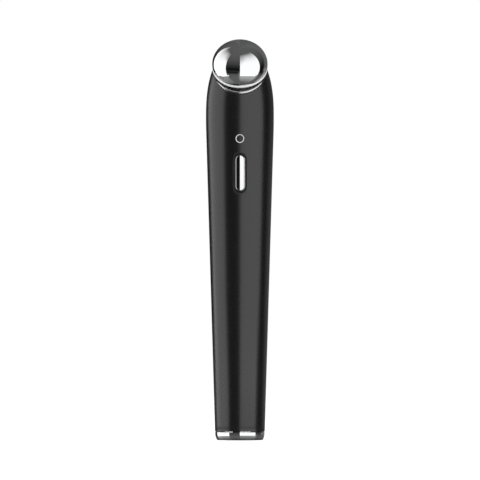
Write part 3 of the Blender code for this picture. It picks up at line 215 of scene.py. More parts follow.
# Screws: radius of the shank and grip below the head; shares are of that radius
HEAD_SCREW = (0.0010, 0.0062)
BOARD_SCREW = (0.0007, 0.0036)
CARRIER_SCREW = (0.0008, 0.0042)
SCREW_HEAD = 1.85
SCREW_HEAD_ROUND = 0.55
SCREW_HEAD_BREAK = 0.06
SCREW_TIP = 0.6
SCREW_ROOT = 0.8
SCREW_PITCH = 0.6
SCREW_ARM = 0.95
SCREW_SLOT = 0.16
SCREW_RECESS = 0.35
HEAD_SCREW_SEAT = -0.0018
BOARD_SCREW_HEIGHTS = (0.06835, 0.094225)
CARRIER_SCREW_SIDE = 0.0033
CARRIER_SCREW_DEPTH = 0.0009
CARRIER_SCREW_HEIGHT = 0.06455

# Parts on the board
PART_DEPTH = 0.0057
CHIP_INSET = 0.00012
CHIP_PADS = 7
CHIP_PAD_PITCH = 0.0006
CHIP_PAD_SINK = 0.00008
CHIP_PAD_LIFT = 0.0001
CHIP_PAD_BESIDE = (0.0004, 0.0002, 0.00028)
CHIP_PAD_ABOVE = (0.00028, 0.0002, 0.0004)
CHIP_DOT_PLACE = 0.0017
CHIP_DOT = (0.0003, 0.0066, 0.0068)
PART_ROUND = 0.00006
COIL_HEIGHT = 0.0730075
COIL_WAIST = 0.0016
COIL_WAIST_LOW = 0.0062
COIL_WAIST_HIGH = 0.0076
DRUM_CORNERS = (
    (0.0, PART_DEPTH, 0.0), (0.0022, PART_DEPTH, 0.0001), (0.0022, COIL_WAIST_LOW, 0.0001),
    (COIL_WAIST, COIL_WAIST_LOW, 0.0), (COIL_WAIST, COIL_WAIST_HIGH, 0.0),
    (0.0022, COIL_WAIST_HIGH, 0.0001), (0.0022, 0.0081, 0.0001), (0.0, 0.0081, 0.0),
)
WINDING_RADIUS = 0.0001
WINDING_TURNS = 6
WINDING_STEPS = 24
CAPACITOR_INSET = 0.00004
CAPACITOR_ROUND = 0.0001
CAPACITOR_END = (0.0016, 0.0016, 0.00056)
CAPACITOR_END_DEPTH = 0.0065
CAPACITOR_END_OFFSET = 0.00132
LED_SINK = 0.0001
GLOW_CORNERS = (
    (0.0, 0.0061, 0.0), (0.00055, 0.0061, 0.0), (0.00055, 0.0065, 0.0002), (0.0, 0.0065, 0.0),
)
SWITCH_LID = 0.0011
SWITCH_WINDOW = 0.00150

# Motor and wires
MOTOR_DEPTH = 0.0030
CAN_CORNERS = (
    (0.0, 0.10295, 0.0), (0.0030, 0.10295, 0.00035), (0.0030, 0.11145, 0.0003), (0.0010, 0.11145, 0.00008),
    (0.0010, 0.11195, 0.00012), (0.0005, 0.11195, 0.00004), (0.0005, 0.10415, 0.0), (0.0, 0.10415, 0.0),
)
BOOT_CORNERS = (
    (0.0015, 0.10235, 0.0001), (0.0036, 0.10235, 0.0004), (0.0036, 0.11105, 0.0002),
    (0.0031, 0.11105, 0.00008), (0.0031, 0.10285, 0.0), (0.0015, 0.10285, 0.0001),
)
SHAFT_CORNERS = (
    (0.0, 0.10445, 0.0), (0.0004, 0.10445, 0.0001), (0.0004, 0.11565, 0.0001), (0.0, 0.11565, 0.0),
)
WEIGHT_RADIUS = 0.0027
WEIGHT_HUB_RADIUS = 0.0012
WEIGHT_SPAN = (0.11225, 0.11525)
WEIGHT_ROUND = 0.00008
WEIGHT_BORE = (0.0005, 0.1120, 0.1155)
LEAD_RADIUS = 0.00035
LEAD_SIDES = 14
HEAD_LEAD_START = (0.00445, 0.0, -0.00215)
HEAD_LEAD_ROUTE = (
    (0.00525, -0.0045, 0.11525), (0.0056, -0.00615, 0.11145), (0.0056, -0.00615, 0.10295),
    (0.0044, -0.00615, 0.09915),
)
MOTOR_LEAD_ROUTE = (
    (0.00075, -MOTOR_DEPTH, 0.10285), (0.00075, -MOTOR_DEPTH, 0.1017), (0.0015, -0.00415, 0.10025),
)

# Surroundings that the gloss shows: panel edges are (height, azimuth in degrees) from the front
SURROUND_RADIUS = 0.7
TABLE_LIFT = 0.00003
PANEL_DISTANCE = 0.17
PANEL_FOOT = 0.010
PANEL_HEIGHT = 0.5
PANEL_ROWS = 48
RIGHT_PANEL_START = ((0.0, 0.5), (0.5, 0.5))
RIGHT_PANEL_END = (
    (0.0, 74.0), (0.02, 75.0), (0.04, 84.0), (0.11, 82.5), (0.185, 79.6), (0.283, 76.3), (0.5, 68.0),
)
LEFT_PANEL_START = (
    (0.0, -80.0), (0.025, -100.0), (0.05, -124.0), (0.09, -127.0), (0.11, -133.0), (0.2, -128.0),
    (0.5, -127.0),
)
LEFT_PANEL_END = (
    (0.0, -49.0), (0.012, -51.0), (0.03, -57.0), (0.102, -54.3), (0.178, -52.0), (0.25, -51.0), (0.5, -51.0),
)

# Upright strips for the gloss of the foot, the cap and the dome's lower half, and a dark flag:
# name, distance, lowest and highest height, azimuths of the two edges, strength
STRIPS = (
    ("right_foot", 0.19, 0.0, 0.0106, 0.5, 74.5, 2.1),
    ("left_foot", 0.19, 0.0, 0.0106, -82.0, -50.0, 2.1),
    ("left_far", 0.45, 0.0, 0.055, -128.0, -78.0, 1.7),
    ("cap_right", 0.0135, 0.0, 0.0024, 0.0, 55.1, 1.4),
    ("cap_left", 0.0125, 0.0, 0.0024, -94.5, -35.4, 1.4),
    ("front_flag", 0.6, 0.026, 0.052, -54.0, 0.5, 0.05),
)


def operator(operation, reflected=False):
    """Operator of a field, which adds a Math node."""
    def apply(self, other):
        return self.maths(operation, other, self) if reflected else self.maths(operation, self, other)
    return apply


class Field:
    """One output of a node tree, with the arithmetic that its maths needs."""

    __add__ = operator("ADD")
    __radd__ = operator("ADD", True)
    __sub__ = operator("SUBTRACT")
    __rsub__ = operator("SUBTRACT", True)
    __mul__ = operator("MULTIPLY")
    __rmul__ = operator("MULTIPLY", True)
    __truediv__ = operator("DIVIDE")
    __pow__ = operator("POWER")
    __mod__ = operator("FLOORED_MODULO")
    at_least = operator("MAXIMUM")
    at_most = operator("MINIMUM")

    def __init__(self, sheet, socket):
        self.sheet = sheet
        self.socket = socket

    def maths(self, operation, *values):
        """Math node of one operation on numbers or fields."""
        return self.sheet.node("ShaderNodeMath", {"operation": operation}, dict(enumerate(values)))

    def eased(self, low, high, start=0.0, end=1.0):
        """Smooth step from start to end while the number goes from low to high."""
        return self.sheet.node(
            "ShaderNodeMapRange", {"interpolation_type": "SMOOTHSTEP"},
            {"Value": self, "From Min": low, "From Max": high, "To Min": start, "To Max": end},
        )

    def within(self, low, high, edge):
        """1 between two numbers, with soft edges."""
        return self.eased(low, low + edge) * self.eased(high, high + edge, 1.0, 0.0)

    def mixed(self, first, second):
        """Colour between two colours, by this number."""
        return self.sheet.node(
            "ShaderNodeMix", {"data_type": "RGBA"},
            {"Factor_Float": self, "A_Color": first, "B_Color": second}, "Result_Color",
        )


class Sheet:
    """A node tree, with one method that adds any node."""

    def __init__(self, tree):
        self.tree = tree

    def node(self, kind, settings=None, values=None, out=0):
        """Node of a kind with its settings, then its sockets' values or links."""
        made = self.tree.nodes.new(kind)
        for name, value in (settings or {}).items():
            setattr(made, name, value)
        for key, value in (values or {}).items():
            socket = found(made.inputs, key)
            if isinstance(value, Field):
                self.tree.links.new(value.socket, socket)
            else:
                socket.default_value = value
        return Field(self, found(made.outputs, out)) if len(made.outputs) else None

    def other(self, field, out):
        """Another output of the node that a field comes from."""
        return Field(self, found(field.socket.node.outputs, out))

    def place(self):
        """Object coordinates."""
        return self.node("ShaderNodeTexCoord", out="Object")

    def axes(self, place):
        """The three coordinates of a place."""
        x = self.node("ShaderNodeSeparateXYZ", values={0: place})
        return x, self.other(x, 1), self.other(x, 2)

    def noise(self, place, scale, detail=2.0, roughness=0.55):
        """Soft random pattern from 0 to 1."""
        values = {"Vector": place, "Scale": scale, "Detail": detail, "Roughness": roughness}
        return self.node("ShaderNodeTexNoise", values=values)

    def bump(self, height, distance, strength):
        """Normal from a height pattern."""
        values = {"Height": height, "Distance": distance, "Strength": strength}
        return self.node("ShaderNodeBump", values=values)

    def polish(self, place):
        """Fine pattern of a polished metal, and the normal that it gives."""
        fine = self.noise(place, 2500.0)
        return fine, self.bump(fine, 0.0000004, 0.3)

    def moved(self, place, scale, turn=(0, 0, 0)):
        """Coordinates turned and scaled by a Mapping node."""
        values = {"Vector": place, "Rotation": turn, "Scale": scale}
        return self.node("ShaderNodeMapping", {"vector_type": "POINT"}, values)

    def finish(self, **values):
        """Principled surface, with its sockets named by words joined with underscores."""
        sockets = {name.replace("_", " "): value for name, value in values.items()}
        shader = self.node("ShaderNodeBsdfPrincipled", values=sockets)
        self.node("ShaderNodeOutputMaterial", values={"Surface": shader})


def found(sockets, key):
    """Socket by its number, or by its identifier or name."""
    if isinstance(key, int):
        return sockets[key]
    return next((s for s in sockets if s.identifier == key), None) or sockets[key]


def rgb(red, green=None, blue=None):
    """Opaque colour, grey where only one number is given."""
    return (red, red if green is None else green, red if blue is None else blue, 1.0)


def reach(across, along):
    """Distance from the middle, of two fields at right angles."""
    return (across * across + along * along) ** 0.5


def new_finish(name):
    """Empty sheet of a new finish, which FINISHES keeps by its name."""
    made = bpy.data.materials.new(name)
    made.use_nodes = True
    made.node_tree.nodes.clear()
    FINISHES[name] = made
    return Sheet(made.node_tree)


# Finishes, named by the record's slots where they are made for one

def plain_finish(name, colour, roughness, metallic=0.0, grain=9000.0, depth=0.000004, spread=0.12, **extra):
    """Moulded, cast or rolled stuff: a fine grain, with colour and gloss that drift a little."""
    sheet = new_finish(name)
    place = sheet.place()
    drift = sheet.noise(place, 260.0, 4.0)
    fine = sheet.noise(place, grain)
    low, high = (rgb(*(part * (1 + change) for part in colour)) for change in (-spread, spread))
    sheet.finish(
        Base_Color=drift.mixed(low, high),
        Roughness=roughness + (drift - 0.5) * 0.10 + (fine - 0.5) * 0.06,
        Metallic=metallic,
        Normal=sheet.bump(fine, depth, 0.6),
        **extra,
    )


def lacquer_finish():
    """Black gloss lacquer on the drawn metal tube, with a faint orange peel."""
    sheet = new_finish("black_sleeve")
    place = sheet.place()
    peel = sheet.noise(place, 900.0)
    dust = sheet.noise(place, 5200.0)
    drift = sheet.noise(sheet.moved(place, (1, 1, 0.3)), 120.0, 3.0)
    sheet.finish(
        Base_Color=drift.mixed(rgb(0.0050, 0.0050, 0.0053), rgb(0.0062, 0.0062, 0.0065)),
        Roughness=0.27 + (drift - 0.5) * 0.03 + (dust - 0.5) * 0.03,
        Metallic=0.0,
        IOR=1.66,
        Normal=sheet.bump(peel, 0.0000015, 0.5),
    )


def chrome_finish():
    """Polished chrome with faint fingermarks in its gloss."""
    sheet = new_finish("chrome")
    place = sheet.place()
    smudge = sheet.noise(place, 170.0, 4.0).eased(0.42, 0.75)
    fine, normal = sheet.polish(place)
    sheet.finish(
        Base_Color=smudge.mixed(rgb(0.90, 0.905, 0.915), rgb(0.865, 0.87, 0.88)),
        Roughness=0.025 + smudge * 0.02 + fine * 0.012,
        Metallic=1.0,
        Normal=normal,
    )


def bead_finish():
    """Bright polished bead that turns to satin at its two sides, a painted sheen that keeps those sides bright where
    its mirror would show dark.
    """
    sheet = new_finish("bead_chrome")
    place = sheet.place()
    across = sheet.axes(place)[0]
    # Painted sheen: left and right of the front the bead goes satin and less metallic, so those sides show bright
    painted_side_sheen = across.maths("ABSOLUTE", across).eased(0.0056, 0.0072)
    fine, normal = sheet.polish(place)
    sheet.finish(
        Base_Color=painted_side_sheen.mixed(rgb(0.89, 0.89, 0.91), rgb(0.86, 0.86, 0.87)),
        Roughness=0.16 + painted_side_sheen * 0.2 + fine * 0.04,
        Metallic=1.0 - painted_side_sheen * 0.85,
        Normal=normal,
    )


def dome_finish():
    """Polished chrome that turns to a satin band on the dome's rolled lip."""
    sheet = new_finish("dome_chrome")
    place = sheet.place()
    depth, height = sheet.axes(place)[1:]
    lift = (height - HEAD_PLACE[2]) * math.cos(HEAD_TILT) - (depth - HEAD_PLACE[1]) * math.sin(HEAD_TILT)
    lip = lift.eased(LIP_TOP - LIP_GROOVE, LIP_TOP + LIP_GROOVE / 2, 1.0, 0.0)
    smudge = sheet.noise(place, 150.0, 4.0).eased(0.45, 0.78)
    fine, normal = sheet.polish(place)
    turn_marks = sheet.noise(sheet.moved(place, (0.06, 0.06, 1.0), (-HEAD_TILT, 0, 0)), 16000.0)
    polish = smudge.mixed(rgb(0.90, 0.905, 0.915), rgb(0.87, 0.875, 0.885))
    sheet.finish(
        Base_Color=lip.mixed(polish, rgb(0.94, 0.94, 0.95)),
        Roughness=0.022 + smudge * 0.014 + fine * 0.008 + lip * (0.30 + (turn_marks - 0.5) * 0.1),
        Metallic=1.0 - lip * 0.85,
        Normal=normal,
    )


def cell_finish():
    """Plain printed sleeve of the cell, with bare metal at both ends and one pale band."""
    sheet = new_finish("cell_jacket")
    place = sheet.place()
    height = sheet.axes(place)[2]
    wrapped = height.within(*CELL_JACKET)
    drift = sheet.noise(place, 300.0, 3.0)
    metal = drift.mixed(rgb(0.55, 0.55, 0.56), rgb(0.66, 0.66, 0.67))
    printed = height.within(*CELL_BAND).mixed(rgb(0.08, 0.10, 0.16), rgb(0.42, 0.43, 0.45))
    sheet.finish(
        Base_Color=wrapped.mixed(metal, printed),
        Roughness=0.30 + (drift - 0.5) * 0.08,
        Metallic=1.0 - wrapped * 0.7,
        Normal=sheet.bump(drift, 0.000004, 0.4),
    )


def board_finish():
    """Green solder mask over fine tracks, with tinned rings round the two screws."""
    sheet = new_finish("board_green")
    place = sheet.place()
    across, depth, height = sheet.axes(place)
    wave = sheet.noise(sheet.moved(place, (1, 1, 0.25)), 420.0, 0.0)
    track = ((across + wave * 0.0022) / 0.0009 % 1.0).eased(0.52, 0.60)
    low, high = (reach(across, height - screw).eased(0.0015, 0.00155, 1.0, 0.0) for screw in BOARD_SCREW_HEIGHTS)
    rings = low.at_least(high)
    fine = sheet.noise(place, 6000.0)
    mask = track.mixed(rgb(0.014, 0.115, 0.050), rgb(0.022, 0.175, 0.078))
    sheet.finish(
        Base_Color=rings.mixed(mask, rgb(0.62, 0.62, 0.60)),
        Roughness=0.33 + (fine - 0.5) * 0.06,
        Metallic=rings,
        Normal=sheet.bump(track, 0.000012, 0.5),
    )


def switch_finish():
    """Grey switch housing under a thin steel lid that has a round window for the plunger."""
    sheet = new_finish("switch_housing")
    place = sheet.place()
    across, depth, height = sheet.axes(place)
    lid = (0.0 - depth).eased(PART_DEPTH + SWITCH_LID, PART_DEPTH + SWITCH_LID + 0.00002)
    steel = lid * reach(across, height - BUTTON_HEIGHT).eased(SWITCH_WINDOW, SWITCH_WINDOW + 0.00004)
    fine = sheet.noise(place, 9000.0)
    sheet.finish(
        Base_Color=steel.mixed(rgb(0.15, 0.15, 0.16), rgb(0.56, 0.56, 0.57)),
        Roughness=0.50 - steel * 0.2 + (fine - 0.5) * 0.06,
        Metallic=steel,
        Normal=sheet.bump(fine, 0.000004, 0.5),
    )


def build_finishes():
    """Make every finish of the object."""
    for finish in (lacquer_finish, chrome_finish, bead_finish, dome_finish, cell_finish, board_finish, switch_finish):
        finish()
    metal = {"metallic": 1.0, "depth": 0.000002}
    moulded = {"grain": 12000.0, "depth": 0.000008}
    plain_finish("steel", (0.56, 0.56, 0.57), 0.30, spread=0.05, **metal)
    plain_finish("brass", (0.72, 0.53, 0.24), 0.28, spread=0.06, **metal)
    plain_finish("copper", (0.62, 0.26, 0.12), 0.30, spread=0.05, **metal)
    plain_finish("satin_weight", (0.56, 0.55, 0.53), 0.42, 1.0, grain=14000.0, depth=0.00001)
    plain_finish("satin_ring", (0.92, 0.92, 0.93), 0.34, 0.15, spread=0.03, depth=0.000001)
    plain_finish("black_collar", (0.011, 0.011, 0.012), 0.16, grain=3000.0, depth=0.0000006)
    plain_finish("smoked_lens", (0.016, 0.016, 0.018), 0.24, grain=1500.0, depth=0.0000004, Coat_Weight=0.1)
    plain_finish("grey_plastic", (0.15, 0.15, 0.16), 0.52, **moulded)
    plain_finish("black_plastic", (0.014, 0.014, 0.015), 0.46, **moulded)
    plain_finish("ferrite", (0.055, 0.055, 0.058), 0.68, grain=15000.0, depth=0.000012)
    plain_finish("rubber", (0.018, 0.018, 0.018), 0.74, grain=11000.0, depth=0.00001)
    plain_finish("black_silicone", (0.010, 0.010, 0.010), 0.55, spread=0.2)
    # Painted glow: an amber colour for the lit LED, which gives off no light of its own
    plain_finish("painted_lamp_glow", (0.78, 0.62, 0.18), 0.35, spread=0.05)
    plain_finish("led_white", (0.80, 0.80, 0.70), 0.28, spread=0.04)
    plain_finish("red_wire", (0.55, 0.03, 0.02), 0.42, spread=0.08)
    plain_finish("black_wire", (0.018, 0.018, 0.018), 0.42)
    plain_finish("capacitor_tan", (0.44, 0.29, 0.12), 0.42)


# Geometry trees

def start_tree(name, **kinds):
    """Geometry tree with named inputs: its sheet, the inputs' fields, and the tree with their identifiers."""
    tree = bpy.data.node_groups.new(name, "GeometryNodeTree")
    sockets = {}
    for key, kind in kinds.items():
        made = tree.interface.new_socket(name=key, in_out="INPUT", socket_type=f"NodeSocket{kind}")
        sockets[key] = made.identifier
    tree.interface.new_socket(name="Skin", in_out="OUTPUT", socket_type="NodeSocketGeometry")
    sheet = Sheet(tree)
    first = sheet.node("NodeGroupInput")
    return sheet, [sheet.other(first, index) for index in range(len(kinds))], (tree, sockets)


def end_tree(sheet, skin, finish):
    """Make a tree's skin real, give it its finish and put it out."""
    whole = sheet.node("GeometryNodeRealizeInstances", values={"Geometry": skin})
    dressed = sheet.node("GeometryNodeSetMaterial", values={"Geometry": whole, "Material": finish})
    sheet.node("NodeGroupOutput", values={0: dressed})


def lathe_tree():
    """Tree that turns its mesh's points, in order, round the z axis into a skin."""
    sheet, (profile, segments, finish), made = start_tree(
        "lathe", Profile="Geometry", Segments="Int", Finish="Material"
    )
    count = sheet.node("GeometryNodeAttributeDomainSize", {"component": "MESH"}, {0: profile})
    grid = sheet.node("GeometryNodeMeshGrid", values={"Vertices X": segments + 1, "Vertices Y": count})
    index = sheet.node("GeometryNodeInputIndex")
    row = index % count
    turn = (index - row) / count / segments * math.tau
    sample = sheet.node(
        "GeometryNodeSampleIndex", {"data_type": "FLOAT_VECTOR", "domain": "POINT"},
        {"Geometry": profile, "Value": sheet.node("GeometryNodeInputPosition"), "Index": row},
    )
    radius, side, height = sheet.axes(sample)
    round_place = {0: radius * turn.maths("COSINE", turn), 1: radius * turn.maths("SINE", turn), 2: height}
    around = sheet.node("ShaderNodeCombineXYZ", values=round_place)
    placed = sheet.node("GeometryNodeSetPosition", values={"Geometry": grid, "Position": around})
    closed = sheet.node("GeometryNodeMergeByDistance", values={"Geometry": placed, "Distance": MERGE_DISTANCE})
    end_tree(sheet, closed, finish)
    return made


def sweep_tree():
    """Tree that runs a round section along the edges of its mesh."""
    sheet, (path, radius, sides, finish), made = start_tree(
        "sweep", Path="Geometry", Radius="Float", Sides="Int", Finish="Material"
    )
    line = sheet.node("GeometryNodeMeshToCurve", values={"Mesh": path})
    section = sheet.node(
        "GeometryNodeCurvePrimitiveCircle", {"mode": "RADIUS"}, {"Resolution": sides, "Radius": radius}
    )
    parts = {"Curve": line, "Profile Curve": section, "Fill Caps": True}
    end_tree(sheet, sheet.node("GeometryNodeCurveToMesh", values=parts), finish)
    return made


def repeat_tree():
    """Tree that puts a block of one size at every point of its mesh."""
    sheet, (points, size, finish), made = start_tree(
        "repeat", Points="Geometry", Size="Vector", Finish="Material"
    )
    block_shape = sheet.node("GeometryNodeMeshCube", values={"Size": size})
    parts = {"Points": points, "Instance": block_shape}
    end_tree(sheet, sheet.node("GeometryNodeInstanceOnPoints", values=parts), finish)
    return made


def grown(points, edges, tree_and_sockets, **values):
    """Bmesh that a geometry tree makes of points and edges."""
    mesh = bpy.data.meshes.new("guide")
    mesh.from_pydata([tuple(point) for point in points], edges, [])
    guide = bpy.data.objects.new("guide", mesh)
    bpy.context.scene.collection.objects.link(guide)
    tree, sockets = tree_and_sockets
    change = guide.modifiers.new("tree", "NODES")
    change.node_group = tree
    for key, value in values.items():
        change[sockets[key]] = value
    return applied(guide)


def applied(guide):
    """Bmesh of an object with its modifiers applied; the object goes."""
    graph = bpy.context.evaluated_depsgraph_get()
    mesh = bpy.data.meshes.new_from_object(guide.evaluated_get(graph), depsgraph=graph)
    bm = bmesh.new()
    bm.from_mesh(mesh)
    bpy.data.meshes.remove(mesh)
    bpy.data.objects.remove(guide, do_unlink=True)
    return bm


def swept(points, radius, sides, look):
    """Bmesh of a round section run along points."""
    edges = [(index, index + 1) for index in range(len(points) - 1)]
    return cleaned(grown(points, edges, SWEEP, Radius=radius, Sides=sides, Finish=FINISHES[look]))


def repeated(points, size, look):
    """Bmesh of a block of one size at every point."""
    return grown(points, [], REPEAT, Size=size, Finish=FINISHES[look])


def turned(outline, segments, look, place=None, closed=True):
    """Bmesh of an outline of (radius, height) points turned round the z axis of a frame."""
    points = [(radius, 0.0, height) for radius, height in list(outline) + ([outline[0]] if closed else [])]
    bm = grown(points, [], LATHE, Segments=segments, Finish=FINISHES[look])
    if place is not None:
        bmesh.ops.transform(bm, matrix=place, verts=bm.verts)
    return cleaned(bm)


# Shapes

def head_frame():
    """Matrix from the tilted head's frame to the wand's."""
    return Matrix.Translation(HEAD_PLACE) @ Matrix.Rotation(HEAD_TILT, 4, "X")


def front_frame(height):
    """Matrix from a frame whose z axis points out of the wand's front, at a height."""
    return Matrix.Translation((0.0, 0.0, height)) @ Matrix.Rotation(math.pi / 2, 4, "X")


def spread_out(low, high, count):
    """Evenly spaced numbers from low to high."""
    return [low + (high - low) * step / count for step in range(count + 1)]


def outer_radius(height):
    """Radius of the sleeve's outside: a straight taper, a short blend and a rounded nose."""
    slope = (CROWN_RADIUS - TAIL_RADIUS) / (CROWN_HEIGHT - BLEND_LENGTH / 2 - SEAM_HEIGHT)
    if height <= CROWN_HEIGHT - BLEND_LENGTH:
        return TAIL_RADIUS + slope * (height - SEAM_HEIGHT)
    if height <= CROWN_HEIGHT:
        return CROWN_RADIUS - slope * (CROWN_HEIGHT - height) ** 2 / (2 * BLEND_LENGTH)
    share = (height - CROWN_HEIGHT) / NOSE_LENGTH
    return CROWN_RADIUS * math.sqrt(max(0.0, 1 - share ** NOSE_POWER))


def sleeve_curve(bottom):
    """Outer curve of the sleeve from a height to the nose's tip, as (radius, height) points."""
    straight = CROWN_HEIGHT - BLEND_LENGTH
    heights = spread_out(bottom, straight, 48) if bottom < straight else [bottom]
    heights += [height for height in spread_out(straight, CROWN_HEIGHT, 12)[1:] if height > bottom]
    quarter = math.pi / 2 / NOSE_STEPS
    heights += [CROWN_HEIGHT + NOSE_LENGTH * math.sin(quarter * step) for step in range(1, NOSE_STEPS)]
    return [(outer_radius(height), height) for height in heights] + [(0.0, NOSE_TOP)]


def inset(curve, depth):
    """Curve moved inwards by a depth, square to itself, and still ending on the axis."""
    moved = []
    for index, (radius, height) in enumerate(curve):
        before = curve[max(index - 1, 0)]
        after = curve[min(index + 1, len(curve) - 1)]
        run = Vector((after[0] - before[0], after[1] - before[1])).normalized()
        moved.append((max(radius - depth * run.y, 0.0), height + depth * run.x))
    moved[0] = (moved[0][0], curve[0][1])
    moved[-1] = (0.0, curve[-1][1] - depth)
    return moved


def softened(corners, steps=4):
    """Outline whose corners, given as (radius, height, rounding), are rounded off.

    A point beside each arc keeps the shading of the flats straight.
    """
    outline = []
    for index, (x, y, rounding) in enumerate(corners):
        here = Vector((x, y))
        if rounding == 0.0:
            outline.append((x, y))
            continue
        before = Vector(corners[index - 1][:2]) - here
        after = Vector(corners[(index + 1) % len(corners)][:2]) - here
        half = before.angle(after) / 2
        back = min(rounding / math.tan(half), before.length * 0.45, after.length * 0.45)
        start = here + before.normalized() * back
        end = here + after.normalized() * back
        outline.append(tuple(start + before.normalized() * back * 0.4))
        for share in spread_out(0, 1, steps):
            point = start * (1 - share) ** 2 + here * 2 * share * (1 - share) + end * share ** 2
            outline.append(tuple(point))
        outline.append(tuple(end + after.normalized() * back * 0.4))
    return outline


def ellipse(radius, rise, centre, start, end, steps):
    """Points of an ellipse round a lift on the axis, from one angle to another, in degrees."""
    angles = spread_out(math.radians(start), math.radians(end), steps)
    return [(radius * math.cos(angle), centre + rise * math.sin(angle)) for angle in angles]


def cleaned(bm):
    """Bmesh with its doubled points merged and its faces turned outwards."""
    bmesh.ops.remove_doubles(bm, verts=bm.verts, dist=MERGE_DISTANCE)
    bmesh.ops.dissolve_degenerate(bm, edges=bm.edges, dist=MERGE_DISTANCE / 10)
    bmesh.ops.recalc_face_normals(bm, faces=bm.faces)
    return bm


def rows_joined(rows, ring=False):
    """Bmesh of equal closed rows of points, each joined to the next."""
    bm = bmesh.new()
    made = [[bm.verts.new(point) for point in row] for row in rows]
    pairs = list(zip(made, made[1:] + made[:1]))
    for near, far in pairs if ring else pairs[:-1]:
        for index in range(len(near)):
            after = (index + 1) % len(near)
            bm.faces.new((near[index], near[after], far[after], far[index]))
    return cleaned(bm)


def plug(radius, low, high, segments, look, place=None):
    """Bmesh of a round plug between two heights in a frame, which cuts a hole."""
    return turned(((0.0, low), (radius, low), (radius, high), (0.0, high)), segments, look, place)


def slab(low, high, place):
    """Bmesh of a wide flat slab between two lifts in a frame."""
    bm = bmesh.new()
    size = Matrix.Diagonal((0.2, 0.2, high - low, 1.0))
    bmesh.ops.create_cube(bm, size=1, matrix=place @ Matrix.Translation((0, 0, (low + high) / 2)) @ size)
    return bm


def prism(outline, low, high, rounding):
    """Bmesh of an outline of (x, y) points between two heights, with its sharp edges rounded."""
    bm = bmesh.new()
    rows = [[bm.verts.new((x, y, height)) for x, y in outline] for height in (low, high)]
    bm.faces.new(rows[0][::-1])
    bm.faces.new(rows[1])
    for index in range(len(outline)):
        after = (index + 1) % len(outline)
        bm.faces.new((rows[0][index], rows[0][after], rows[1][after], rows[1][index]))
    cleaned(bm)
    if rounding > 0.0:
        sharp = [edge for edge in bm.edges if edge.calc_face_angle(0.0) > SHARP_ANGLE]
        bmesh.ops.bevel(bm, geom=sharp, offset=rounding, segments=2, profile=0.5, affect="EDGES")
    return cleaned(bm)


def block(low, high, rounding):
    """Bmesh of a box with rounded edges between two corners."""
    outline = [(low[0], low[1]), (high[0], low[1]), (high[0], high[1]), (low[0], high[1])]
    return prism(outline, low[2], high[2], rounding)


def drawn_in(node, sides, front):
    """Lowest and highest corners of a CAD node's box, drawn in at its sides and at its front."""
    low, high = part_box(node)
    return (low[0] + sides, low[1] + front, low[2] + sides), (high[0] - sides, high[1], high[2] - sides)


def pill(profile, ring, follow, half_steps=24):
    """Bmesh of an upright pill round the button's spine, from rows of a profile.

    follow(x, z) gives the depth that the rows which follow are measured from.
    """
    directions = []
    for end in (1, -1):
        for angle in spread_out(0, math.pi, half_steps):
            directions.append((end * BUTTON_SPINE, end * math.cos(angle), end * math.sin(angle)))
    rows = []
    for offset, depth, follows in profile:
        row = []
        for start, across, along in directions:
            x = offset * across
            z = BUTTON_HEIGHT + start + offset * along
            row.append((x, -(follow(x, z) + depth if follows else depth), z))
        rows.append(row)
    return rows_joined(rows, ring)


def wall_depth(x, z):
    """Depth of the sleeve's outside in front of a point on the wand's axis plane."""
    return math.sqrt(outer_radius(z) ** 2 - x ** 2)


def taper_depth(x, z):
    """Depth of the sleeve's front at a height, the same all across."""
    return outer_radius(z)


def button_arch(x, z):
    """Depth of the button's front, arched across its width and tapered along it."""
    arch = math.sqrt(BUTTON_CROWN_RADIUS ** 2 - x ** 2)
    side = math.sqrt(BUTTON_CROWN_RADIUS ** 2 - (BUTTON_WIDTH / 2) ** 2)
    return outer_radius(z) - FIT_GAP + arch - side


def add_object(name, bm, look=None):
    """Object from a bmesh, shaded smooth between its sharp edges."""
    mesh = bpy.data.meshes.new(name)
    bm.to_mesh(mesh)
    bm.free()
    mesh.shade_smooth()
    mesh.set_sharp_from_angle(angle=SHARP_ANGLE)
    mesh.materials.clear()
    if look:
        mesh.materials.append(FINISHES[look])
    made = bpy.data.objects.new(name, mesh)
    bpy.context.scene.collection.objects.link(made)
    return made


def cut(target, tool, operation="DIFFERENCE"):
    """Apply a boolean of a tool's bmesh to a target's bmesh."""
    first = add_object("cut_target", target)
    second = add_object("cut_tool", tool)
    change = first.modifiers.new("cut", "BOOLEAN")
    change.operation = operation
    change.solver = "EXACT"
    change.object = second
    bpy.context.view_layer.update()
    bm = applied(first)
    bpy.data.objects.remove(second, do_unlink=True)
    return cleaned(bm)


def put(name, bm, body, node, slot, look=None):
    """Finished piece that rides on a body and stands for its CAD node, where it has one."""
    made = add_object(name, bm, look or slot)
    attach(made, body)
    if node:
        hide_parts(node)


def put_turned(name, corners, segments, place, body, node, slot, look=None):
    """Finished turned piece with rounded corners."""
    put(name, turned(softened(corners), segments, look or slot, place), body, node, slot, look)


# Pieces of the outside

def add_sleeve():
    """Tapered lacquered tube, cut off at a slant, with a pocket and a lamp hole in its front."""
    outside = sleeve_curve(SLEEVE_BOTTOM)
    inside = inset(outside, SLEEVE_WALL)
    foot = outside[0][0]
    edge = [(foot - SLEEVE_BREAK, SLEEVE_BOTTOM), (foot - SLEEVE_BREAK / 4, SLEEVE_BOTTOM + SLEEVE_BREAK / 4)]
    outside[0] = (foot, SLEEVE_BOTTOM + SLEEVE_BREAK)
    bm = turned(edge + outside + inside[::-1], WAND_SEGMENTS, "black_sleeve")
    bm = cut(bm, slab(-TRIM_THICKNESS - FIT_GAP, 0.05, head_frame()))
    bm = cut(bm, pill(POCKET_PROFILE, False, wall_depth))
    hole = LAMP_RING_RADIUS + FIT_GAP / 2
    bm = cut(bm, plug(hole, CUT_START, CUT_END, SMALL_SEGMENTS, "black_sleeve", front_frame(LAMP_HEIGHT)))
    put("sleeve_tube", bm, "massager_body", "body_sleeve", "black_sleeve")


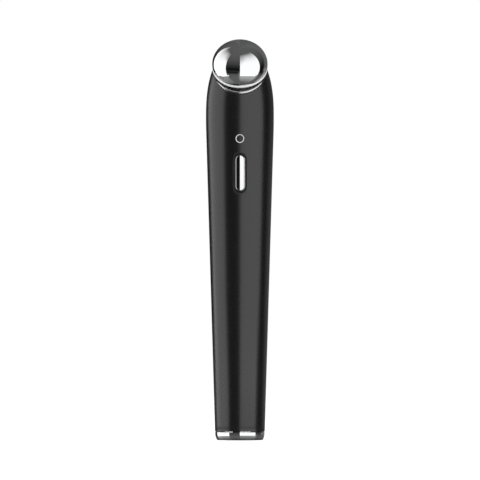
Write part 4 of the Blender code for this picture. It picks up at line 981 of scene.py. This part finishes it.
def slant_point(curve, angle, lift):
    """Point where a meridian of a turned curve first reaches a lift off the head's cut plane."""
    normal = Vector((0.0, -math.sin(HEAD_TILT), math.cos(HEAD_TILT)))
    origin = Vector(HEAD_PLACE)
    previous = None
    for radius, height in curve:
        point = Vector((radius * math.sin(angle), -radius * math.cos(angle), height))
        gap = (point - origin).dot(normal) - lift
        if gap >= 0.0:
            last, last_gap = previous
            return last.lerp(point, last_gap / (last_gap - gap))
        previous = (point, gap)
    raise ValueError("the curve never reaches the cut plane")


def add_trim():
    """Polished bead that follows the sleeve's slanted edge, its section drawn inwards and up."""
    outside = sleeve_curve(CROWN_HEIGHT)
    inside = inset(outside, TRIM_WIDTH * 3)
    columns = []
    for step in range(WAND_SEGMENTS):
        angle = math.tau * step / WAND_SEGMENTS
        column = []
        for inwards, lift in softened(TRIM_CORNERS, 6):
            near = slant_point(outside, angle, lift)
            far = slant_point(inside, angle, lift)
            column.append(near + (far - near).normalized() * inwards)
        columns.append(column)
    bm = rows_joined([list(row) for row in zip(*columns)], True)
    put("trim_bead", bm, "massager_body", "trim_ring", "chrome", "bead_chrome")


def nose_core(depth, low, high):
    """Bmesh of the nose's solid core, inset by a depth and kept between two lifts."""
    curve = inset(sleeve_curve(CROWN_HEIGHT), depth)
    bm = turned([(0.0, CROWN_HEIGHT), *curve], HEAD_SEGMENTS, "black_collar")
    return cut(bm, slab(low, high, head_frame()), "INTERSECT")


def add_collar():
    """Black neck with its bead, the flange inside the trim, and the plug below it."""
    plug_inset = SLEEVE_WALL + SEAT_GAP
    bm = turned(softened(NECK_CORNERS), HEAD_SEGMENTS, "black_collar", head_frame())
    bm = cut(bm, nose_core(TRIM_WIDTH + FIT_GAP, -TRIM_THICKNESS, FLANGE_TOP), "UNION")
    bm = cut(bm, nose_core(plug_inset, PLUG_BOTTOM, -TRIM_THICKNESS / 2), "UNION")
    bm = cut(bm, nose_core(plug_inset + SKIRT_WALL, SKIRT_BOTTOM, SKIRT_TOP))
    bm = cut(bm, plug(SCREW_BORE, -0.0032, 0.0024, TINY_SEGMENTS, "black_collar", head_frame()))
    put("neck_collar", bm, "massager_body", "head_collar", "black_collar")


def dome_angle(lift):
    """Angle in degrees of the dome's outside at a lift off the cut plane."""
    return math.degrees(math.asin((lift - EQUATOR_LIFT) / DOME_RISE))


def add_dome():
    """Hollow flattened ball that touches the skin, with a rolled satin lip and an inner boss."""
    outside = ellipse(DOME_RADIUS, DOME_RISE, EQUATOR_LIFT, 90, dome_angle(LIP_TOP + LIP_GROOVE), 72)
    outside[0] = (0.0, outside[0][1])
    groove = (dome_angle(LIP_TOP + LIP_GROOVE / 2), dome_angle(LIP_TOP - LIP_GROOVE / 2))
    outside += ellipse(DOME_RADIUS - LIP_GROOVE, DOME_RISE, EQUATOR_LIFT, *groove, 1) + list(LIP_ROLL)
    radius = DOME_RADIUS - DOME_WALL
    rise = DOME_RISE - DOME_WALL
    start = math.degrees(math.asin((LIP_LIFT - EQUATOR_LIFT) / rise))
    end = math.degrees(math.acos(BOSS_RADIUS / radius))
    inside = ellipse(radius, rise, EQUATOR_LIFT, start, end, 24)
    inside += [(BOSS_RADIUS, BOSS_FOOT), (SCREW_BORE, BOSS_FOOT), (SCREW_BORE, BOSS_DEPTH), (0.0, BOSS_DEPTH)]
    bm = turned(outside + inside, WAND_SEGMENTS, "dome_chrome", head_frame())
    put("touch_dome", bm, "massager_body", "head_electrode", "chrome", "dome_chrome")


def add_button():
    """Chromed pill button with a round crown, and the flange that keeps it in."""
    profile = list(BUTTON_PROFILE)
    for turn in BUTTON_EDGE_ANGLES:
        inwards = BUTTON_EDGE_WIDTH * (1 - math.cos(math.radians(turn)))
        drop = BUTTON_EDGE_DROP * (1 - math.sin(math.radians(turn)))
        profile.append((BUTTON_HALF - inwards, -drop, True))
    profile += [(BUTTON_HALF * share, 0.0, True) for share in BUTTON_CROWN_SHARES]
    bm = pill(profile, False, button_arch, 48)
    put("button_cap", bm, "button", "power_button", "chrome")


def add_gasket():
    """Soft black sleeve in the gap round the button."""
    bm = pill(SEAL_PROFILE, True, taper_depth)
    put("button_gasket", bm, "massager_body", "button_seal", "black_silicone")


def add_lamp():
    """Satin bezel in the lamp hole, and the smoked window and guide inside it."""
    front = outer_radius(LAMP_HEIGHT)
    wall = front - SLEEVE_WALL
    bore = LAMP_RING_RADIUS - LAMP_RING_WALL
    shank = bore - 0.00004
    flange = bore + PIPE_FLANGE
    place = front_frame(LAMP_HEIGHT)
    bezel = (
        (bore, wall, 0.00002), (LAMP_RING_RADIUS, wall, 0.00002),
        (LAMP_RING_RADIUS, front + 0.00006, 0.00005), (bore, front + 0.00002, 0.00012),
    )
    window = (
        (0.0, PIPE_FOOT, 0.0), (shank, PIPE_FOOT, 0.00008), (shank, wall - PIPE_FLANGE_LOW, 0.0),
        (flange, wall - PIPE_FLANGE_LOW, 0.00005), (flange, wall - PIPE_FLANGE_HIGH, 0.00005),
        (shank, wall - PIPE_FLANGE_HIGH, 0.0), (shank, front - 0.00022, 0.00008), (0.0, front - 0.00012, 0.0),
    )
    put_turned("lamp_bezel", bezel, SMALL_SEGMENTS, place, "massager_body", "indicator_ring", "satin_ring")
    put_turned("lamp_window", window, SMALL_SEGMENTS, place, "massager_body", "light_pipe", "smoked_lens")


# Pieces of the tail

def thread_ridge(angle, height):
    """Share of the thread's depth at a place: 1 on a right-hand ridge and 0 between ridges."""
    phase = (height / THREAD_PITCH - angle / math.tau) % 1
    return min(1.0, max(0.0, (THREAD_FOOT - abs(phase - 0.5)) / (THREAD_FOOT - THREAD_CREST)))


def cut_thread(bm, wall, low, high, fade_low):
    """Move the points of a round wall outwards along a helix that fades out at its ends."""
    fade = THREAD_PITCH / 2
    for vert in bm.verts:
        height = vert.co.z
        if abs(vert.co.xy.length - wall) > MERGE_DISTANCE or not low < height < high:
            continue
        share = min(1.0, (high - height) / fade, (height - low) / fade if fade_low else 1.0)
        angle = math.atan2(vert.co.y, vert.co.x)
        vert.co.xy *= (wall + THREAD_DEPTH * share * thread_ridge(angle, height)) / wall


def threaded_wall(radius, low, high):
    """Points up a wall, close enough together to carry the thread."""
    count = round((high - low) / THREAD_PITCH * THREAD_ROWS)
    return [(radius, height) for height in spread_out(low, high, count)]


def add_cap():
    """Chromed screw cap: a rounded base, a flat shoulder and a hollow threaded spigot."""
    thread_top = SPIGOT_TOP - SEAT_GAP
    thread_bottom = thread_top - THREAD_LENGTH
    edge = ellipse(CAP_SIDE - CAP_BASE, CAP_EDGE_HEIGHT, CAP_EDGE_HEIGHT, -90, 0, 32)
    outline = [
        (0.0, 0.0),
        *((CAP_BASE + side, height) for side, height in edge),
        (CAP_SIDE, CAP_SHOULDER - CAP_CHAMFER),
        (CAP_SIDE - CAP_CHAMFER, CAP_SHOULDER),
        (SPIGOT_RADIUS, CAP_SHOULDER),
        *threaded_wall(SPIGOT_RADIUS, thread_bottom, thread_top),
        (SPIGOT_RADIUS, SPIGOT_TOP - CAP_BREAK),
        (SPIGOT_RADIUS - CAP_BREAK, SPIGOT_TOP),
        (SEAT_RADIUS, SPIGOT_TOP),
        (SEAT_RADIUS, SEAT_HEIGHT),
        (CUP_RADIUS, SEAT_HEIGHT),
        (CUP_RADIUS, CAP_FLOOR),
        (0.0, CAP_FLOOR),
    ]
    bm = turned(outline, WAND_SEGMENTS, "chrome")
    cut_thread(bm, SPIGOT_RADIUS, thread_bottom, thread_top, True)
    put("screw_cap", bm, "cap", "tail_cap", "chrome")


def add_tail_parts():
    """Seal and contact of the cap, the bush that it screws into, and the cell."""
    centre = SPIGOT_RADIUS + FIT_GAP + O_RING_HALF
    middle = CAP_SHOULDER + SEAT_GAP + O_RING_HALF
    section = [(centre + side, height) for side, height in ellipse(O_RING_HALF, O_RING_HALF, middle, 0, 345, 23)]
    put("seal_ring", turned(section, HEAD_SEGMENTS, "rubber"), "cap", "tail_o_ring", "rubber")
    put_turned("cap_contact", CONTACT_CORNERS, SMALL_SEGMENTS, None, "cap", "tail_contact", "brass")
    outside = outer_radius(BUSH_BOTTOM) - SLEEVE_WALL - FIT_GAP
    wall = threaded_wall(BUSH_BORE, BUSH_BOTTOM, BUSH_THREAD_TOP)
    outline = [*wall[::-1], (outside, BUSH_BOTTOM), (outside, BUSH_TOP), (BUSH_BORE, BUSH_TOP)]
    bm = turned(outline, WAND_SEGMENTS, "brass")
    cut_thread(bm, BUSH_BORE, BUSH_BOTTOM - FIT_GAP, BUSH_THREAD_TOP, False)
    put("threaded_bush", bm, "massager_body", "tail_bush", "brass")
    put_turned("power_cell", CELL_CORNERS, HEAD_SEGMENTS, None, "cell", "battery_cell", "cell_jacket")


# Pieces of the inside

def add_screw(node, size, place):
    """Pan head screw with a ridged shank and a cross recess; its head rests at height 0 of a frame."""
    radius, grip = size
    tip = radius * SCREW_TIP
    pitch = radius * SCREW_PITCH
    head = radius * SCREW_HEAD
    lip = radius * SCREW_HEAD_BREAK
    outline = [(0.0, -grip), (tip, -grip)]
    height = tip - grip
    while height < -1.5 * pitch:
        outline += [(radius, height), (radius * SCREW_ROOT, height + pitch / 2)]
        height += pitch
    outline += [(radius, height), (radius, 0.0), (head - lip, 0.0), (head, lip)]
    shoulder = radius * SCREW_HEAD_ROUND
    crown = ellipse(shoulder, radius / 2, radius / 2, 0, 90, 8)
    outline += [(head - shoulder + side, rise) for side, rise in crown] + [(0.0, radius)]
    arm = radius * SCREW_ARM
    slot = radius * SCREW_SLOT
    cross = [
        (slot, slot), (slot, arm), (-slot, arm), (-slot, slot), (-arm, slot), (-arm, -slot),
        (-slot, -slot), (-slot, -arm), (slot, -arm), (slot, -slot), (arm, -slot), (arm, slot),
    ]
    bm = turned(outline, TINY_SEGMENTS, "steel")
    bm = cut(bm, prism(cross, radius * SCREW_RECESS, radius * 1.2, 0.0))
    bmesh.ops.transform(bm, matrix=place, verts=bm.verts)
    put(f"{node}_driven", bm, "massager_body", node, "steel")


def add_screws():
    """The head's, the board's and the carrier's screws."""
    under = head_frame() @ Matrix.Translation((0, 0, HEAD_SCREW_SEAT)) @ Matrix.Rotation(math.pi, 4, "X")
    add_screw("head_screw", HEAD_SCREW, under)
    for number, height in enumerate(BOARD_SCREW_HEIGHTS, 1):
        place = front_frame(height) @ Matrix.Translation((0, 0, PART_DEPTH))
        add_screw(f"board_screw_{number}", BOARD_SCREW, place)
    for number, side in enumerate((-CARRIER_SCREW_SIDE, CARRIER_SCREW_SIDE), 1):
        place = Matrix.Translation((side, -CARRIER_SCREW_DEPTH, CARRIER_SCREW_HEIGHT))
        add_screw(f"carrier_screw_{number}", CARRIER_SCREW, place)


def add_chip():
    """Control chip with a dot at its first pad, and its tinned pads along four sides."""
    low, high = drawn_in("control_chip", CHIP_INSET, 0.0)
    middle = (low[2] + high[2]) / 2
    rim = high[0] - CHIP_PAD_SINK
    rows = [(step - (CHIP_PADS - 1) / 2) * CHIP_PAD_PITCH for step in range(CHIP_PADS)]
    lift = -PART_DEPTH - CHIP_PAD_LIFT
    beside = [(side * rim, lift, middle + row) for side in (-1, 1) for row in rows]
    above = [(row, lift, middle + side * rim) for side in (-1, 1) for row in rows]
    pads = repeated(beside, CHIP_PAD_BESIDE, "steel")
    more = repeated(above, CHIP_PAD_ABOVE, "steel")
    spare = bpy.data.meshes.new("spare")
    more.to_mesh(spare)
    more.free()
    pads.from_mesh(spare)
    bpy.data.meshes.remove(spare)
    corner = front_frame(middle + CHIP_DOT_PLACE) @ Matrix.Translation((-CHIP_DOT_PLACE, 0, 0))
    bm = cut(block(low, high, PART_ROUND), plug(*CHIP_DOT, TINY_SEGMENTS, "black_plastic", corner))
    put("chip_body", bm, "massager_body", "control_chip", "black_plastic")
    put("chip_pads", cleaned(pads), "massager_body", None, "steel")


def add_coil():
    """Ferrite drum with its copper winding."""
    place = front_frame(COIL_HEIGHT)
    put_turned("coil_drum", DRUM_CORNERS, SMALL_SEGMENTS, place, "massager_body", "step_up_coil", "ferrite")
    radius = COIL_WAIST + WINDING_RADIUS
    steps = WINDING_TURNS * WINDING_STEPS
    heights = spread_out(COIL_WAIST_LOW + WINDING_RADIUS, COIL_WAIST_HIGH - WINDING_RADIUS, steps)
    route = []
    for step, height in enumerate(heights):
        angle = math.tau * step / WINDING_STEPS
        route.append(place @ Vector((radius * math.cos(angle), radius * math.sin(angle), height)))
    put("coil_winding", swept(route, WINDING_RADIUS, 8, "copper"), "massager_body", None, "brass", "copper")


def add_small_parts():
    """Capacitor with tinned ends, and the lamp's LED with a patch whose amber colour is a painted glow."""
    low, high = drawn_in("supply_capacitor", CAPACITOR_INSET, CAPACITOR_INSET)
    bm = block(low, high, CAPACITOR_ROUND)
    put("capacitor_body", bm, "massager_body", "supply_capacitor", "capacitor_tan")
    across, along = ((low[axis] + high[axis]) / 2 for axis in (0, 2))
    offsets = (-CAPACITOR_END_OFFSET, CAPACITOR_END_OFFSET)
    ends = [(across, -CAPACITOR_END_DEPTH, along + offset) for offset in offsets]
    bm = cleaned(repeated(ends, CAPACITOR_END, "steel"))
    put("capacitor_ends", bm, "massager_body", None, "steel")
    bm = block(*drawn_in("indicator_led", 0.0, LED_SINK), PART_ROUND)
    put("led_body", bm, "massager_body", "indicator_led", "led_white")
    place = front_frame(LAMP_HEIGHT)
    # The patch's amber finish is a painted glow, not a lamp
    put_turned("led_patch", GLOW_CORNERS, TINY_SEGMENTS, place, "massager_body", None, "led_white", "painted_lamp_glow")


def add_motor():
    """Vibration motor with its boot, and the rotor: a shaft with an off-centre weight."""
    seat = Matrix.Translation((0.0, -MOTOR_DEPTH, 0.0))
    put_turned("motor_shell", CAN_CORNERS, SMALL_SEGMENTS, seat, "massager_body", "motor_can", "steel")
    put_turned("motor_jacket", BOOT_CORNERS, SMALL_SEGMENTS, seat, "massager_body", "motor_boot", "rubber")
    put_turned("rotor_shaft", SHAFT_CORNERS, TINY_SEGMENTS, seat, "motor_rotor", "motor_shaft", "steel")
    outline = ellipse(WEIGHT_RADIUS, WEIGHT_RADIUS, 0.0, 180, 360, 32)
    outline += ellipse(WEIGHT_HUB_RADIUS, WEIGHT_HUB_RADIUS, 0.0, 0, 180, 20)
    bm = prism(outline, *WEIGHT_SPAN, WEIGHT_ROUND)
    bm = cut(bm, plug(*WEIGHT_BORE, TINY_SEGMENTS, "satin_weight"))
    bmesh.ops.transform(bm, matrix=seat, verts=bm.verts)
    put("rotor_weight", bm, "motor_rotor", "eccentric_weight", "satin_weight")


def smooth_route(points, steps=8):
    """Points along a smooth curve through a route's own points."""
    route = [Vector(point) for point in points]
    padded = [2 * route[0] - route[1], *route, 2 * route[-1] - route[-2]]
    smooth = []
    for before, start, end, after in zip(padded, padded[1:], padded[2:], padded[3:]):
        for step in range(steps):
            share = step / steps
            bend = (2 * before - 5 * start + 4 * end - after) * share ** 2
            twist = (3 * start - before - 3 * end + after) * share ** 3
            smooth.append(start + ((end - before) * share + bend + twist) / 2)
    return smooth + [route[-1]]


def add_wires():
    """The head's lead and the motor's two leads."""
    mirrored = [(-x, y, z) for x, y, z in MOTOR_LEAD_ROUTE]
    routes = (
        ("head_lead", "red_wire", [head_frame() @ Vector(HEAD_LEAD_START), *HEAD_LEAD_ROUTE]),
        ("motor_lead_1", "black_wire", mirrored),
        ("motor_lead_2", "red_wire", MOTOR_LEAD_ROUTE),
    )
    for node, slot, route in routes:
        bm = swept(smooth_route(route), LEAD_RADIUS, LEAD_SIDES, slot)
        put(f"{node}_wire", bm, "massager_body", node, slot)


def dress_inside():
    """Give every CAD node that stays the finish of its slot."""
    slots = {row["node"]: row["material_slot"] for row in frame["record"]["subparts"]}
    for name, node in frame["nodes"].items():
        if node.hide_render:
            continue
        finish = FINISHES["switch_housing" if name == "tact_switch" else slots[name]]
        materials = node.data.materials
        if not materials:
            materials.append(finish)
        for index in range(len(materials)):
            materials[index] = finish


# Camera, light and surroundings

def add_camera():
    """Camera at the photograph's straight front view, with a long lens."""
    camera = bpy.data.cameras.new("camera")
    camera.lens = LENS
    camera.sensor_width = SENSOR
    camera.clip_end = 100.0
    made = bpy.data.objects.new("camera", camera)
    bpy.context.scene.collection.objects.link(made)
    made.location = (VIEW_SHIFT, -VIEW_WIDTH * LENS / SENSOR, VIEW_HEIGHT)
    made.rotation_euler = (math.pi / 2, 0.0, 0.0)
    bpy.context.scene.camera = made


def seen_rays(sheet):
    """1 for camera, glossy and transmission rays."""
    camera = sheet.node("ShaderNodeLightPath", out="Is Camera Ray")
    glossy = sheet.other(camera, "Is Glossy Ray")
    return camera.at_least(glossy).at_least(sheet.other(camera, "Is Transmission Ray"))


def set_world():
    """White behind the object and in its gloss, and a plain level of light on everything."""
    world = bpy.data.worlds.new("studio")
    bpy.context.scene.world = world
    world.use_nodes = True
    world.node_tree.nodes.clear()
    sheet = Sheet(world.node_tree)
    strength = PLAIN_LEVEL + seen_rays(sheet) * (1 - PLAIN_LEVEL)
    shader = sheet.node("ShaderNodeBackground", values={"Color": rgb(1.0), "Strength": strength})
    sheet.node("ShaderNodeOutputWorld", values={"Surface": shader})


def add_floor():
    """Pale floor that keeps the object's shadow."""
    sheet = new_finish("floor")
    matt = sheet.node("ShaderNodeBsdfDiffuse", values={"Color": rgb(0.86)})
    lift = sheet.node("ShaderNodeEmission", values={"Color": rgb(1.0), "Strength": seen_rays(sheet) * 0.45})
    both = sheet.node("ShaderNodeAddShader", values={0: matt, 1: lift})
    sheet.node("ShaderNodeOutputMaterial", values={"Surface": both})
    bm = bmesh.new()
    corners = ((-1, -1), (1, -1), (1, 1), (-1, 1))
    bm.faces.new([bm.verts.new((x * FLOOR_REACH, y * FLOOR_REACH, 0.0)) for x, y in corners])
    add_object("floor", bm, "floor")


def card_finish(name, glow, gloss=False):
    """Glowing finish whose strength is glow(azimuth, height, distance), with a gloss if asked."""
    sheet = new_finish(name)
    x, y, z = sheet.axes(sheet.place())
    azimuth = x.maths("ARCTAN2", x, 0.0 - y) * math.degrees(1)
    strength = glow(azimuth, z, reach(x, y))
    shader = sheet.node("ShaderNodeEmission", values={"Color": rgb(1.0), "Strength": strength})
    if gloss:
        sheen = sheet.node("ShaderNodeBsdfGlossy", values={"Color": rgb(1.0), "Roughness": 0.08})
        grazing = sheet.node("ShaderNodeFresnel", values={"IOR": 1.5})
        shader = sheet.node("ShaderNodeMixShader", values={0: grazing, 1: shader, 2: sheen})
    sheet.node("ShaderNodeOutputMaterial", values={"Surface": shader})


def add_card(name, bm):
    """Card that only reflections see, in the finish of its name."""
    card = add_object(name, bm, name)
    card.visible_camera = False
    card.visible_diffuse = False
    card.visible_shadow = False
    card.visible_transmission = False
    card.visible_volume_scatter = False


def edge_azimuth(stops, height):
    """Azimuth of a card's edge at a height, between its (height, azimuth) stops."""
    for (low, start), (high, end) in zip(stops, stops[1:]):
        if height <= high:
            return start + (end - start) * (height - low) / (high - low)
    return stops[-1][1]


def add_upright(name, distance, heights, start, end):
    """Upright curved card round the wand at a distance, between two edges given by their stops.

    Azimuths are in degrees from the camera's side towards +X.
    """
    bm = bmesh.new()
    rows = []
    for height in heights:
        row = []
        for azimuth in spread_out(edge_azimuth(start, height), edge_azimuth(end, height), CARD_STEPS):
            turn = math.radians(azimuth)
            row.append(bm.verts.new((distance * math.sin(turn), -distance * math.cos(turn), height)))
        rows.append(row)
    for near, far in zip(rows, rows[1:]):
        for index in range(CARD_STEPS):
            bm.faces.new((near[index], near[index + 1], far[index + 1], far[index]))
    add_card(name, bm)


def surround_glow(azimuth, height, distance):
    """Dark flags in front and beside, dim grey behind right, and a grey ceiling."""
    ceiling = height.eased(0.10, 0.72)
    behind_right = azimuth.eased(105.0, 127.0) * height.eased(0.06, 0.115, 0.21, 0.12)
    behind_right = behind_right * azimuth.eased(145.0, 172.0, 1.0, 0.8)
    behind_left = azimuth.eased(-175.0, -155.0, 1.0, 0.0) * height.eased(0.12, 0.28) * 0.12
    return (0.006 + ceiling * 0.10).at_least(behind_right).at_least(behind_left)


def table_glow(azimuth, height, distance):
    """Grey table card with painted light: lighter near the wand, painted pools of light below the bright panels and
    behind, and a painted shadow that halves it right under the wand's foot.
    """
    right = azimuth.eased(-10.0, 6.0) * azimuth.eased(80.0, 95.0, 1.0, 0.0)
    left = azimuth.eased(-66.0, -54.0, 0.5, 0.0) * azimuth.eased(-140.0, -120.0)
    # Painted pools of light on the table below the two bright panels
    painted_panel_light = (right + left) * distance.eased(0.02, 0.15) * 0.27
    off_front = azimuth.maths("ABSOLUTE", azimuth)
    # Painted light on the table behind the wand
    behind = off_front.eased(118.0, 142.0, 0.0, 0.42) + off_front.eased(145.0, 165.0, 0.0, 0.40)
    behind = behind * distance.eased(0.03, 0.14)
    # Painted shadow: the table's glow is halved right under the wand's foot
    foot = 0.5 + distance.eased(0.0078, 0.0095) * 0.5
    return (0.006 + distance.eased(0.18, 0.45, 0.109, 0.0) + painted_panel_light + behind) * foot


def panel_glow(height, soft):
    """Glow of a soft panel that fades out at its top, with a share for the gloss near its foot."""
    return height.eased(0.18, 0.50, 1.1, 0.10) * soft.at_most(1.0) + height.eased(0.005, 0.04, 0.3, 0.0)


def right_glow(azimuth, height, distance):
    """Bright soft panel, dimmer towards the front."""
    return panel_glow(height, azimuth.eased(0.0, 35.0, 0.58, 1.0) + height.eased(0.14, 0.30, 0.42, 0.0))


def left_glow(azimuth, height, distance):
    """Bright soft panel, dimmer towards the front and brighter low on its far side."""
    soft = azimuth.eased(-76.0, -50.0, 1.0, 0.45) + height.eased(0.18, 0.28, 0.55, 0.0)
    far_side = azimuth.eased(-128.0, -108.0, 0.7, 0.0) * height.eased(0.03, 0.10, 1.0, 0.3)
    return panel_glow(height, soft) + far_side


def add_surroundings():
    """The cards and flags that the object's gloss shows."""
    card_finish("surround", surround_glow)
    card_finish("table", table_glow, True)
    card_finish("right_panel", right_glow)
    card_finish("left_panel", left_glow)
    shell = ellipse(SURROUND_RADIUS, SURROUND_RADIUS, 0.0, 0, 90, 24)[:-1] + [(0.0, SURROUND_RADIUS)]
    add_card("surround", turned(shell, CARD_SEGMENTS, "surround", None, False))
    disc = [(SURROUND_RADIUS, TABLE_LIFT), (0.0, TABLE_LIFT)]
    add_card("table", turned(disc, CARD_SEGMENTS, "table", None, False))
    heights = spread_out(PANEL_FOOT, PANEL_HEIGHT, PANEL_ROWS)
    add_upright("right_panel", PANEL_DISTANCE, heights, RIGHT_PANEL_START, RIGHT_PANEL_END)
    add_upright("left_panel", PANEL_DISTANCE, heights, LEFT_PANEL_START, LEFT_PANEL_END)
    for name, distance, low, high, start, end, strength in STRIPS:
        card_finish(name, lambda *place: strength)
        add_upright(name, distance, (low, high), ((low, start),), ((low, end),))


def add_lamp_light(name, side):
    """Large soft lamp that lights matt stuff only."""
    light = bpy.data.lights.new(name, "AREA")
    light.size = LAMP_SIZE
    light.energy = LAMP_POWER
    made = bpy.data.objects.new(name, light)
    bpy.context.scene.collection.objects.link(made)
    place = Vector((side * 0.6, -0.75, 0.65)).normalized() * LAMP_DISTANCE
    made.location = place
    made.rotation_euler = (Vector((0, 0, VIEW_HEIGHT)) - place).to_track_quat("-Z", "Y").to_euler()
    made.visible_glossy = False
    made.visible_camera = False


build_finishes()
LATHE = lathe_tree()
SWEEP = sweep_tree()
REPEAT = repeat_tree()
add_sleeve()
add_trim()
add_collar()
add_dome()
add_button()
add_gasket()
add_lamp()
add_cap()
add_tail_parts()
add_screws()
add_chip()
add_coil()
add_small_parts()
add_motor()
add_wires()
dress_inside()
add_camera()
set_world()
add_floor()
add_surroundings()
add_lamp_light("left_lamp", -1)
add_lamp_light("right_lamp", 1)
bpy.context.scene.view_settings.view_transform = "Standard"
